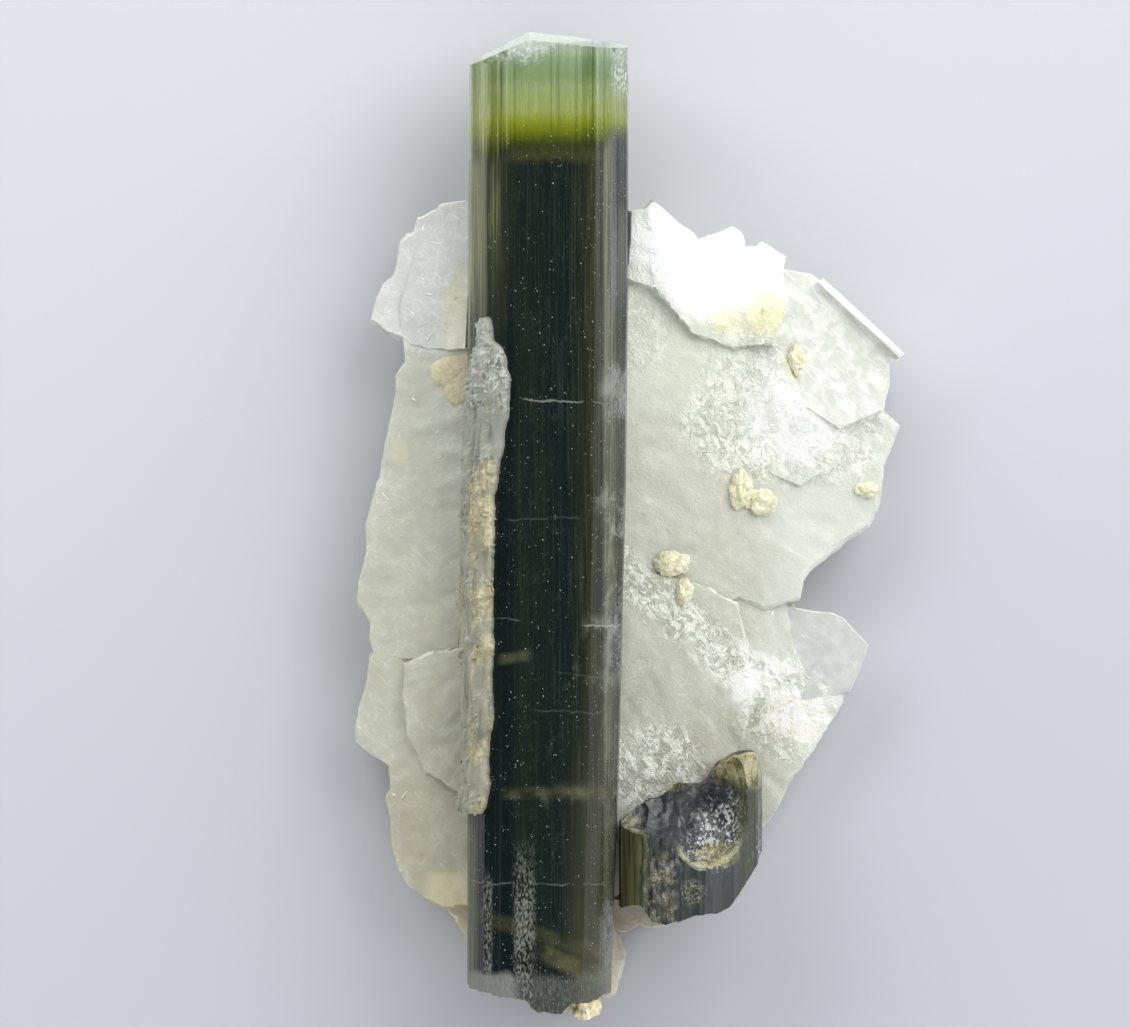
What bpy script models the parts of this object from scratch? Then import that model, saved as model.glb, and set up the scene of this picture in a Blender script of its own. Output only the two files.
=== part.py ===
"""Tourmaline crystal on a slab of albite plates, lying on its back.

A long striated prism lies across the front of a stack of white cleavage
plates.  A crust runs along one of its edges, and a short broken crystal leans
against its foot.  +Y runs along the prism towards its finished end, +Z points
up from the flat back of the plates, and the origin is under the middle.
"""

import math
import random

import bmesh
import bpy
from mathutils import Vector, noise

MM = 0.001
GAP = 0.3

# Main prism: its axis height, where its two sides run, and its section as
# shares of the half width and heights from the axis.
AXIS_Z = 7.6
LEFT_SIDE = ((31.5, -9.75), (20.0, -9.85), (1.6, -9.93), (-30.0, -9.93))
RIGHT_SIDE = ((31.5, 0.03), (14.0, 0.0), (1.6, -0.13), (-16.9, -0.62), (-30.0, -1.08))
HALF_WIDTH = 4.9
SECTION = (
    (-1.00, -0.10), (-0.97, 1.30), (-0.76, 3.00), (-0.45, 3.85), (0.06, 4.20), (0.58, 4.05),
    (0.68, 3.75), (0.79, 3.30), (0.98, 1.20), (1.00, -0.60), (0.88, -1.75), (0.36, -3.95),
    (0.05, -4.25), (-0.30, -4.10), (-0.86, -2.15), (-0.99, -1.10),
)
RIB_PITCH = 0.46
RIB_DEPTH = 0.075
PRISM_STATIONS = (-25.6, -21.0, -16.4, -11.0, -5.5, 0.5, 6.0, 11.5, 17.0, 22.0, 26.0, 33.0)
BASE_EDGE = (
    (-9.93, -28.2), (-8.8, -28.4), (-7.0, -28.7), (-6.3, -28.8), (-5.9, -29.2), (-5.5, -29.5),
    (-4.05, -29.6), (-3.6, -29.1), (-1.7, -28.7), (-1.08, -28.6),
)
# The finished end: a point on each face and the way that the face looks.
END_FACES = (
    ((-6.1, 29.55, 11.8), (0.11, 1.0, 0.16)),
    ((-6.1, 29.55, 11.8), (-0.48, 1.0, 0.16)),
)
# Chips out of the finished end and side: middle and radius.
CHIPS = (
    ((-7.7, 29.0, 11.25), 0.55),
    ((-8.7, 28.6, 10.5), 0.35),
    ((-0.05, 27.5, 8.3), 0.42),
    ((-0.2, 26.9, 8.0), 0.3),
    ((-2.9, 29.4, 11.9), 0.3),
)
# Clay lump on the broken foot: middle and radii.
FOOT_LUMP = ((-2.75, -29.1, 9.3), (1.05, 1.15, 2.0))

# Short crystal: section corners (x, z), the section's middle, the edges of its
# two broken ends, and the hollow in its head.
SIDE_SECTION = (
    (-0.35, 6.6), (-0.3, 8.2), (0.75, 9.7), (2.0, 10.3), (4.6, 10.6), (6.5, 9.8), (7.9, 8.1),
    (8.35, 6.4), (7.9, 4.7), (6.3, 3.6), (1.3, 3.6), (-0.1, 4.9),
)
SIDE_MIDDLE = (3.9, 7.0)
SIDE_FOOT = (
    (-0.4, -23.4), (0.7, -23.1), (1.5, -24.2), (2.3, -24.3), (4.1, -23.7), (5.4, -23.6),
    (6.2, -23.2), (7.0, -22.2), (7.7, -21.2), (8.35, -20.0),
)
SIDE_HEAD = (
    (-0.4, -18.1), (0.4, -17.5), (2.4, -16.4), (3.1, -15.9), (4.9, -15.8), (5.4, -15.0),
    (6.4, -14.3), (7.5, -13.9), (7.8, -13.9), (8.1, -14.5), (8.35, -15.3),
)
BOWL_CENTER = (3.9, -16.6, 10.7)
BOWL_RADII = (4.5, 4.5, 4.3)

# Crust along the prism's edge: y, start and end of its strip round the section
# measured from the prism's left side, and its thickness.
CRUST = (
    (12.7, 3.3, 3.7, 0.25), (12.0, 3.1, 3.9, 0.40), (11.4, 3.0, 4.0, 0.35), (10.7, 2.2, 4.9, 0.45),
    (9.7, 1.1, 5.6, 0.60), (8.6, 0.9, 5.9, 0.70), (7.6, 0.9, 5.7, 0.55), (6.4, 0.9, 5.1, 0.50),
    (5.2, 0.9, 5.0, 0.45), (4.1, 0.9, 4.9, 0.75), (2.7, 0.9, 4.3, 0.80), (1.2, 1.0, 4.1, 0.60),
    (-0.3, 1.0, 4.0, 0.70), (-1.7, 1.0, 4.0, 0.40), (-3.0, 1.0, 4.0, 0.70), (-4.2, 1.0, 3.95, 0.75),
    (-5.6, 1.0, 3.95, 0.40), (-7.2, 1.0, 4.2, 0.80), (-8.3, 1.0, 4.0, 0.40), (-10.0, 0.9, 3.9, 0.45),
    (-11.9, 0.9, 3.9, 0.75), (-13.2, 0.8, 3.8, 0.40), (-14.6, 0.8, 3.7, 0.45), (-16.0, 0.6, 3.8, 0.85),
    (-17.1, 0.7, 3.6, 0.80), (-17.7, 1.4, 3.0, 0.40),
)
CRUST_POINTS = 8

# Albite plates: outline, underside, top height at the outline's middle, and
# how much the top falls per millimetre along x and y.
CORE = (
    (-9.8, 19.5), (-11.7, 19.0), (-13.5, 17.3), (-14.2, 14.8), (-14.3, 12.3), (-13.3, 11.0),
    (-13.6, 7.9), (-14.5, 4.2), (-15.5, -0.9), (-16.0, -4.6), (-15.5, -7.7), (-16.0, -10.9),
    (-16.0, -13.1), (-14.3, -14.6), (-14.2, -17.1), (-14.1, -20.2), (-13.3, -22.4), (-11.4, -23.7),
    (-9.8, -26.0), (-8.0, -27.6), (-4.2, -29.0), (-1.7, -28.6), (-0.9, -27.1), (-0.6, -24.1),
    (2.0, -24.0), (4.6, -22.1), (7.4, -19.0), (9.2, -17.1), (10.8, -14.6), (12.7, -11.2),
    (13.0, -7.7), (10.8, -5.4), (10.2, -4.0), (10.8, -2.1), (13.9, 0.4), (15.2, 2.9), (15.1, 6.7),
    (15.2, 9.2), (14.6, 11.4), (11.8, 14.0), (9.6, 14.8), (7.1, 16.7), (3.9, 17.0), (1.4, 18.9),
)
# Ledges up the slab's side: height, how far each is set in towards the slab's
# middle, and the seed of its ragged line.
SLAB_MIDDLE = (-1.0, -4.0)
SLAB_LEDGES = (
    (0.0, 1.3, 1.0), (0.55, 0.9, 1.0), (0.6, 0.25, 4.0), (1.2, 0.2, 4.0), (1.25, -0.1, 8.0),
    (1.9, 0.0, 8.0), (1.95, 0.35, 12.0), (2.6, 0.3, 12.0), (2.65, 0.8, 15.0), (3.1, 0.9, 15.0),
)
PLATES = {
    "left": (2.2, 5.5, (0.15, 0.0), (
        (-8.0, 18.4), (-12.9, 17.8), (-14.1, 14.0), (-13.8, 11.0), (-13.8, 10.4), (-14.4, 9.6),
        (-14.4, 8.7), (-14.7, 7.1), (-15.3, 4.5), (-15.6, 3.0), (-16.4, 0.0), (-16.3, -1.6),
        (-16.8, -3.7), (-16.9, -5.0), (-16.0, -6.2), (-16.1, -7.1), (-15.9, -8.0), (-12.9, -8.4),
        (-8.0, -8.0),
    )),
    "upper_left": (2.5, 5.7, (0.22, -0.05), (
        (-8.0, 20.4), (-10.0, 20.4), (-11.6, 20.2), (-11.9, 19.9), (-13.1, 19.3), (-13.3, 18.6),
        (-14.2, 17.9), (-14.7, 15.6), (-15.3, 15.1), (-15.7, 14.3), (-16.1, 12.7), (-15.0, 11.9),
        (-13.8, 11.2), (-12.3, 10.6), (-8.0, 10.9),
    )),
    "lower_left": (2.5, 6.2, (0.05, 0.04), (
        (-8.0, -7.0), (-12.2, -7.5), (-14.0, -8.3), (-14.1, -10.7), (-13.8, -13.2), (-12.6, -15.4),
        (-10.7, -16.6), (-8.0, -16.9),
    )),
    "left_slab": (1.5, 4.9, (0.12, 0.05), (
        (-8.0, -8.0), (-16.0, -8.3), (-16.3, -9.6), (-16.8, -11.2), (-17.1, -13.2), (-16.4, -13.8),
        (-15.0, -14.6), (-14.9, -16.4), (-15.2, -17.0), (-14.8, -18.3), (-14.7, -20.0),
        (-14.3, -21.4), (-13.8, -22.4), (-12.5, -23.3), (-11.4, -23.8), (-8.0, -23.6),
    )),
    "tan": (1.4, 4.3, (0.05, 0.1), (
        (-8.0, -21.3), (-11.4, -21.6), (-12.2, -22.4), (-12.5, -23.3), (-11.4, -23.9),
        (-10.6, -25.0), (-10.1, -25.7), (-9.9, -26.7), (-8.0, -27.4),
    )),
    "bright": (2.2, 6.2, (-0.14, -0.06), (
        (-2.0, 19.4), (0.1, 19.6), (0.9, 19.7), (1.4, 20.3), (2.0, 19.8), (2.9, 19.0), (4.0, 18.3),
        (4.1, 17.9), (5.8, 18.4), (6.5, 18.7), (7.1, 18.4), (7.4, 17.4), (8.2, 17.4), (8.6, 17.7),
        (9.3, 17.2), (9.9, 16.8), (9.8, 15.8), (10.2, 14.0), (9.1, 11.2), (6.6, 10.9), (3.9, 11.8),
        (1.4, 14.6), (-2.0, 15.9),
    )),
    "right_main": (2.5, 5.6, (-0.1, 0.0), (
        (-2.0, 18.6), (0.8, 18.0), (2.3, 14.6), (4.5, 12.7), (6.6, 11.8), (7.4, 7.8), (6.6, 4.1),
        (7.1, -0.8), (6.8, -4.5), (6.6, -8.0), (4.5, -6.1), (1.7, -4.5), (-2.0, -3.9),
    )),
    "straight": (2.6, 4.4, (0.0, 0.03), (
        (9.5, 16.1), (11.4, 15.8), (12.1, 15.3), (17.1, 10.6), (16.9, 10.3), (16.4, 10.6),
        (16.4, 8.9), (16.0, 7.2), (13.2, 6.0), (10.1, 7.9), (8.6, 12.2),
    )),
    "strip": (3.4, 5.1, (0.0, 0.0), (
        (11.75, 15.25), (12.15, 15.45), (17.2, 10.75), (17.1, 10.35), (16.5, 10.35),
    )),
    "hexagon": (3.0, 5.3, (-0.06, 0.02), (
        (7.7, 9.6), (10.1, 8.8), (11.6, 6.7), (13.1, 5.5), (12.7, 4.1), (12.2, 2.6), (10.7, 2.1),
        (8.9, -0.2), (6.3, 0.4), (6.0, 6.0),
    )),
    "right": (1.8, 4.1, (-0.05, 0.03), (
        (16.1, 7.2), (17.1, 6.3), (16.6, 4.8), (16.1, 3.7), (16.0, 2.3), (15.7, 1.0), (15.2, 0.0),
        (13.9, -0.9), (12.7, -1.9), (11.5, -2.8), (11.0, -3.6), (10.8, -4.7), (8.3, -5.0),
        (6.7, -2.1), (7.6, 2.9), (13.2, 6.6),
    )),
    "flake": (2.1, 2.9, (0.0, 0.02), (
        (9.9, -5.0), (11.8, -5.3), (12.8, -5.4), (13.5, -5.7), (15.1, -7.4), (14.9, -8.1),
        (14.4, -9.4), (13.9, -10.4), (10.8, -10.9), (8.9, -7.7),
    )),
    "lower_right": (1.3, 3.2, (0.0, 0.06), (
        (1.7, -4.6), (4.5, -6.2), (6.7, -8.0), (10.1, -8.8), (13.8, -10.2), (13.6, -11.0),
        (12.7, -12.4), (11.8, -13.9), (11.2, -14.8), (10.2, -16.1), (9.6, -17.4), (9.0, -18.4),
        (8.4, -19.0), (4.5, -19.5), (0.8, -19.5), (-2.0, -10.8),
    )),
    "center_right": (2.5, 5.4, (-0.12, 0.03), (
        (-2.0, -3.3), (1.7, -4.6), (4.5, -6.1), (6.6, -8.0), (7.7, -10.8), (6.3, -13.3),
        (4.3, -15.0), (1.7, -15.9), (-2.0, -17.0),
    )),
    "crumb": (0.9, 3.2, (0.0, 0.0), (
        (-2.0, -23.1), (2.7, -23.1), (3.3, -24.1), (2.6, -25.1), (1.4, -25.3), (0.8, -25.1),
        (-0.3, -25.5), (-2.0, -25.3),
    )),
    "tail": (1.0, 5.6, (0.0, 0.1), (
        (-2.3, -22.6), (-1.0, -23.4), (-0.7, -25.2), (-0.0, -26.8), (-0.1, -27.4), (-0.5, -28.4),
        (-0.7, -29.2), (-1.2, -29.6), (-1.7, -29.4), (-2.4, -29.9), (-4.2, -28.5), (-4.5, -24.5),
    )),
}
# Ledges up each plate's side: share of its height, and how far each is set in.
PLATE_SEED = 50
PLATE_LEDGES = ((0.38, 0.0), (0.40, 0.12), (0.72, 0.0), (0.74, 0.16), (1.0, 0.03))
# Clay lumps stuck on the plates: middle and radii.
LUMPS = (
    ((7.1, 2.2, 5.4), (0.75, 1.15, 0.7)),
    ((8.45, 1.45, 5.3), (0.95, 0.85, 0.65)),
    ((14.9, 2.3, 4.1), (0.8, 0.5, 0.5)),
    ((2.75, -2.3, 5.9), (1.15, 0.8, 0.5)),
    ((3.5, -4.0, 5.7), (0.55, 0.8, 0.45)),
    ((-11.0, 9.6, 6.0), (1.25, 1.3, 0.6)),
    ((8.6, 13.4, 5.5), (0.85, 1.1, 0.5)),
    ((10.5, 10.3, 4.5), (0.5, 0.9, 0.5)),
)


def clear_scene():
    """Empty the scene that Blender opened with."""
    for obj in list(bpy.data.objects):
        bpy.data.objects.remove(obj, do_unlink=True)


def new_collection(name):
    """Return a new collection in the scene."""
    collection = bpy.data.collections.new(name)
    bpy.context.scene.collection.children.link(collection)
    return collection


def make_material(name, color, roughness, transmission, ior):
    """Return a Principled material."""
    material = bpy.data.materials.new(name)
    material.use_nodes = True
    material.diffuse_color = (*color, 1.0)
    shader = material.node_tree.nodes["Principled BSDF"]
    shader.inputs["Base Color"].default_value = (*color, 1.0)
    shader.inputs["Roughness"].default_value = roughness
    shader.inputs["Metallic"].default_value = 0.0
    shader.inputs["Transmission Weight"].default_value = transmission
    shader.inputs["IOR"].default_value = ior
    return material


def along(table, value):
    """Read a table of (position, value) pairs at a position, straight between its rows."""
    rows = sorted(table)
    if value <= rows[0][0]:
        return rows[0][1]
    for (a, fa), (b, fb) in zip(rows, rows[1:]):
        if value <= b:
            return fa + (fb - fa) * (value - a) / (b - a)
    return rows[-1][1]


def finish_mesh(name, bm, collection, material=None):
    """Turn millimetres into metres, face the mesh outwards and link it as an object."""
    bmesh.ops.recalc_face_normals(bm, faces=bm.faces)
    bmesh.ops.scale(bm, vec=(MM, MM, MM), verts=bm.verts)
    mesh = bpy.data.meshes.new(name)
    bm.to_mesh(mesh)
    bm.free()
    obj = bpy.data.objects.new(name, mesh)
    collection.objects.link(obj)
    if material is None:
        obj.hide_render = True
        obj.display_type = "WIRE"
    else:
        mesh.materials.append(material)
    return obj


def add_boolean(obj, other, operation):
    """Join another solid to an object, or cut it out."""
    modifier = obj.modifiers.new(f"{operation.title()} {other.name}", "BOOLEAN")
    modifier.operation = operation
    modifier.solver = "EXACT"
    modifier.object = other


def extrude_face(bm, face):
    """Extrude a face with its edges and corners, and return the new face."""
    grown = bmesh.ops.extrude_face_region(bm, geom=[face, *face.edges, *face.verts])
    return next(item for item in grown["geom"] if isinstance(item, bmesh.types.BMFace))


def loft(rings):
    """Extrude a first ring of points through all the others and close both ends."""
    bm = bmesh.new()
    face = bm.faces.new([bm.verts.new(point) for point in rings[0]])
    for ring in rings[1:]:
        face = extrude_face(bm, face)
        for vert, point in zip(face.verts, ring):
            vert.co = point
    return bm


def ribbed(corners, pitch, depth, seed):
    """Split a section's sides into narrow ribs: points, outward ways and rib heights."""
    rng = random.Random(seed)
    middle = Vector((0.0, 0.0))
    for corner in corners:
        middle += Vector(corner) / len(corners)
    ribs = []
    for start, end in zip(corners, corners[1:] + corners[:1]):
        start = Vector(start)
        side = Vector(end) - start
        outward = Vector((side.y, -side.x)).normalized()
        if outward.dot(start - middle) < 0.0:
            outward = -outward
        count = max(2, round(side.length / pitch))
        cuts = [(step + rng.uniform(-0.28, 0.28) * (step > 0)) / count for step in range(count)]
        for step, cut in enumerate(cuts):
            height = depth * rng.uniform(0.35, 1.0) * (-1.0 if step % 2 else 0.35)
            ribs.append((start + side * cut, outward, height))
    return ribs


def prism_point(u, z, y):
    """Place a section point of the main prism at a station along it."""
    left = along(LEFT_SIDE, y)
    right = along(RIGHT_SIDE, y)
    return Vector(((left + right) / 2 + u * (right - left) / 2, y, AXIS_Z + z))


def scaled_corners(corners):
    """Return the prism's section corners in millimetres."""
    return tuple((u * HALF_WIDTH, z) for u, z in corners)


def end_rings(ring, edge, wobble, seed):
    """Return two smaller rings inside a broken end, roughened lengthwise."""
    middle = sum(ring, Vector()) / len(ring)
    rings = []
    for size in (0.28, 0.55, 0.8):
        inner = []
        for point in ring:
            place = middle + (point - middle) * size
            place.y = along(edge, place.x)
            place.y += wobble * noise.noise(Vector((place.x * 1.1, place.z * 1.1, seed)))
            inner.append(place)
        rings.append(inner)
    return rings


def build_prism(collection, cutters, material):
    """Main crystal: a ribbed prism with a flat end of two faces and a broken foot."""
    ribs = ribbed(scaled_corners(SECTION), RIB_PITCH, RIB_DEPTH, 11)
    rng = random.Random(5)
    strength = [1.0] * len(ribs)
    rings = []
    for y in PRISM_STATIONS:
        ring = []
        for index, (place, outward, height) in enumerate(ribs):
            if rng.random() < 0.12:
                strength[index] = rng.choice((0.25, 0.6, 1.0, 1.3))
            spot = place + outward * height * strength[index]
            ring.append(prism_point(spot.x / HALF_WIDTH, spot.y, y))
        rings.append(ring)
    foot = []
    for point in rings[0]:
        low = point.copy()
        low.y = along(BASE_EDGE, low.x)
        foot.append(low)
    bm = loft(end_rings(foot, BASE_EDGE, 0.5, 3.0) + [foot] + rings)
    for place, way in END_FACES:
        geom = list(bm.verts) + list(bm.edges) + list(bm.faces)
        bmesh.ops.bisect_plane(bm, geom=geom, dist=1e-5, plane_co=place, plane_no=way, clear_outer=True)
        rim = [edge for edge in bm.edges if edge.is_boundary]
        bmesh.ops.holes_fill(bm, edges=rim)
    crystal = finish_mesh("tourmaline_crystal", bm, collection, material)
    for index, (middle, radius) in enumerate(CHIPS):
        chip = build_lump(f"chip_{index + 1}", middle, (radius, radius, radius), index, 1, cutters)
        add_boolean(crystal, chip, "DIFFERENCE")
    add_boolean(crystal, build_lump("foot_lump", *FOOT_LUMP, 50.0, 2, cutters), "UNION")
    return crystal


def build_bowl(collection):
    """The shell-like hollow broken out of the short crystal's head."""
    bm = bmesh.new()
    bmesh.ops.create_icosphere(bm, subdivisions=3, radius=1.0)
    for vert in bm.verts:
        way = vert.co.copy()
        ripple = 0.05 * math.sin(9.0 * way.z + 3.0 * way.x)
        rough = 0.16 * noise.noise(way * 2.6) + 0.10 * noise.noise(way * 6.0)
        size = 1.0 + ripple + rough
        vert.co = [BOWL_CENTER[axis] + way[axis] * BOWL_RADII[axis] * size for axis in range(3)]
    return finish_mesh("bowl_cutter", bm, collection)


def build_side_crystal(collection, cutters, material):
    """Short crystal: a thick ribbed prism, broken at both ends, with a hollow in its head."""
    rng = random.Random(8)
    ribs = ribbed(SIDE_SECTION, 0.5, 0.09, 21)
    middle = Vector(SIDE_MIDDLE)
    foot = []
    waist = []
    head = []
    for place, outward, height in ribs:
        spot = place + outward * (height - 0.02)
        low = along(SIDE_FOOT, spot.x)
        high = along(SIDE_HEAD, spot.x)
        inward = (middle - spot) * rng.uniform(0.0, 0.03)
        foot.append(Vector((spot.x, low, spot.y)))
        waist.append(Vector((spot.x + inward.x, (low + high) / 2, spot.y + inward.y)))
        head.append(Vector((spot.x, high, spot.y)))
    low_rings = end_rings(foot, SIDE_FOOT, 0.6, 7.0)
    high_rings = end_rings(head, SIDE_HEAD, 0.6, 9.0)[::-1]
    bm = loft(low_rings + [foot, waist, head] + high_rings)
    crystal = finish_mesh("side_tourmaline", bm, collection, material)
    add_boolean(crystal, build_bowl(cutters), "DIFFERENCE")
    return crystal


def round_section(distance):
    """Walk round the prism's section from its left side: the place and the outward way."""
    corners = [Vector(corner) for corner in scaled_corners(SECTION)]
    for start, end in zip(corners, corners[1:]):
        side = end - start
        if distance <= side.length:
            outward = Vector((-side.y, side.x)).normalized()
            return start + side * distance / side.length, outward
        distance -= side.length
    return corners[-1], Vector((0.0, 1.0))


def build_crust(collection, material):
    """Crust of small grains along the prism's front left edge."""
    rings = []
    for y, start, end, thickness in CRUST:
        inner = []
        outer = []
        for index in range(CRUST_POINTS):
            share = index / (CRUST_POINTS - 1)
            place, outward = round_section(start + (end - start) * share)
            grain = noise.noise(Vector((place.x * 2.3, y * 1.7, place.y * 2.3)))
            arch = 0.35 + 0.65 * math.sin(math.pi * share)
            rise = GAP + 0.15 + thickness * arch * (1.0 + 1.1 * grain)
            low = place + outward * (GAP + 0.03)
            high = place + outward * rise
            shift = 0.25 * noise.noise(Vector((share * 4.0, y, 2.0)))
            inner.append(prism_point(low.x / HALF_WIDTH, low.y, y + shift))
            outer.append(prism_point(high.x / HALF_WIDTH, high.y, y + shift))
        rings.append(inner + outer[::-1])
    return finish_mesh("edge_crust", loft(rings), collection, material)


def build_slab(collection, material):
    """The thick plate with a flat back that carries all the others."""
    middle = Vector(SLAB_MIDDLE)
    rings = []
    for height, shrink, seed in SLAB_LEDGES:
        ring = []
        for x, y in CORE:
            away = (Vector((x, y)) - middle).normalized()
            ragged = noise.noise(Vector((x * 0.35, y * 0.35, seed)))
            spot = Vector((x, y)) - away * (shrink + 0.55 * ragged)
            ring.append((spot.x, spot.y, height))
        rings.append(ring)
    return finish_mesh("albite_matrix", loft(rings), collection, material)


def build_plate(name, collection, seed):
    """One cleavage plate: its outline raised in two ledges with a ragged upper one."""
    bottom, top, slope, outline = PLATES[name]
    rng = random.Random(seed)
    middle = Vector((0.0, 0.0))
    for corner in outline:
        middle += Vector(corner) / len(outline)
    bottom += rng.uniform(0.0, 0.2)
    bm = bmesh.new()
    face = bm.faces.new([bm.verts.new((x, y, bottom)) for x, y in outline])
    for vert in face.verts:
        vert.co.x += rng.uniform(-0.06, 0.06)
        vert.co.y += rng.uniform(-0.06, 0.06)
    for share, ledge in PLATE_LEDGES:
        face = extrude_face(bm, face)
        for vert in face.verts:
            across = vert.co.x - middle.x
            up = vert.co.y - middle.y
            away = Vector((across, up, 0.0)).normalized()
            vert.co -= away * ledge * rng.uniform(0.3, 1.4)
            height = top + slope[0] * across + slope[1] * up
            vert.co.z = bottom + (height - bottom) * share
    return finish_mesh(f"plate_{name}", bm, collection)


def build_lump(name, middle, radii, seed, subdivisions, collection):
    """One knobbly lump, for clay or for a chip."""
    bm = bmesh.new()
    bmesh.ops.create_icosphere(bm, subdivisions=subdivisions, radius=1.0)
    for vert in bm.verts:
        way = vert.co.copy()
        size = 1.0 + 0.35 * noise.noise(way * 1.7 + Vector((seed, 0.0, 0.0)))
        vert.co = [middle[axis] + way[axis] * radii[axis] * size for axis in range(3)]
    return finish_mesh(name, bm, collection)


def build_channel(collection):
    """Room for the main prism: its plain section, wider by the gap all round."""
    corners = [Vector(corner) for corner in scaled_corners(SECTION)]
    grown = [corner + corner.normalized() * (GAP + 0.08) for corner in corners]
    rings = []
    for y in (-30.2, -16.9, 1.6, 14.0, 34.0):
        rings.append([prism_point(corner.x / HALF_WIDTH, corner.y, y) for corner in grown])
    return finish_mesh("channel_cutter", loft(rings), collection)


def build_seat(collection):
    """Room for the short crystal: its section and ends, wider by the gap all round."""
    middle = Vector(SIDE_MIDDLE)
    low = []
    high = []
    for x, z in SIDE_SECTION:
        spot = Vector((x, z))
        spot += (spot - middle).normalized() * (GAP + 0.1)
        low.append(Vector((spot.x, along(SIDE_FOOT, x) - GAP - 0.3, spot.y)))
        high.append(Vector((spot.x, along(SIDE_HEAD, x) + GAP + 0.3, spot.y)))
    return finish_mesh("seat_cutter", loft([low, high]), collection)


def build_matrix(collection, cutters, material):
    """Albite: the slab, its plates and clay lumps, and the room for the two crystals."""
    matrix = build_slab(collection, material)
    for index, name in enumerate(PLATES):
        add_boolean(matrix, build_plate(name, cutters, PLATE_SEED + index), "UNION")
    for index, (middle, radii) in enumerate(LUMPS):
        lump = build_lump(f"lump_{index + 1}", middle, radii, 3.0 * index, 2, cutters)
        add_boolean(matrix, lump, "UNION")
    add_boolean(matrix, build_channel(cutters), "DIFFERENCE")
    add_boolean(matrix, build_seat(cutters), "DIFFERENCE")
    return matrix


def main():
    """Build the four pieces."""
    clear_scene()
    parts = new_collection("tourmaline crystal")
    cutters = new_collection("cutters")
    green = make_material("tourmaline", (0.030, 0.050, 0.035), 0.12, 0.35, 1.63)
    slate = make_material("side tourmaline", (0.050, 0.060, 0.055), 0.22, 0.2, 1.63)
    white = make_material("albite", (0.78, 0.79, 0.74), 0.4, 0.2, 1.53)
    grey = make_material("crust", (0.62, 0.63, 0.55), 0.45, 0.2, 1.53)
    build_prism(parts, cutters, green)
    build_side_crystal(parts, cutters, slate)
    build_matrix(parts, cutters, white)
    build_crust(parts, grey)


main()
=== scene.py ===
"""Looks of the tourmaline specimen.

A long ribbed tourmaline prism with a clear green end lies on a stack of white
albite plates, with a crust along one edge and a short broken crystal at its
foot.  Lengths inside the builders are millimetres; meshes are made in metres.
"""

import logging
import math
import random
from dataclasses import dataclass
from enum import Enum
from functools import reduce
from typing import Any, Callable, Iterable, Sequence, Union

import bmesh
import bpy
import numpy as np
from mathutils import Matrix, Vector, noise
from mathutils.geometry import delaunay_2d_cdt


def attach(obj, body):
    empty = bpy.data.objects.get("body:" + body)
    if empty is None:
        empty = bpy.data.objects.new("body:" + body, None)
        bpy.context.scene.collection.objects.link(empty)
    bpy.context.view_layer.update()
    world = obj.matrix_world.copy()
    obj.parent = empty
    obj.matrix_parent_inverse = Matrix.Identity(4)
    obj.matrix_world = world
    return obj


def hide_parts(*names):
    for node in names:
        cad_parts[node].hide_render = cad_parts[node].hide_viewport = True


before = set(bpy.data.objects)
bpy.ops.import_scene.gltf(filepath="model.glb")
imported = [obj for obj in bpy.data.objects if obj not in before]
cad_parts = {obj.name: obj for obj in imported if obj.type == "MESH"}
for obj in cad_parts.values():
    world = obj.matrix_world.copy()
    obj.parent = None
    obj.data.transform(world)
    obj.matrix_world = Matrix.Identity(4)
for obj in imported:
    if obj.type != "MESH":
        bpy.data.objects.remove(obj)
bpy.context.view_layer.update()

LOG = logging.getLogger("specimen")
MM = 0.001
Point = tuple[float, float]
Triple = tuple[float, float, float]
Color = Triple
Table = tuple[Point, ...]
Stops = tuple[tuple[float, Color], ...]
Socket = bpy.types.NodeSocket
Material = bpy.types.Material
Object = bpy.types.Object
Mesh = bmesh.types.BMesh
Number = Union["Signal", float]


# ------------------------------------------------------------------ node maths


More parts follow.
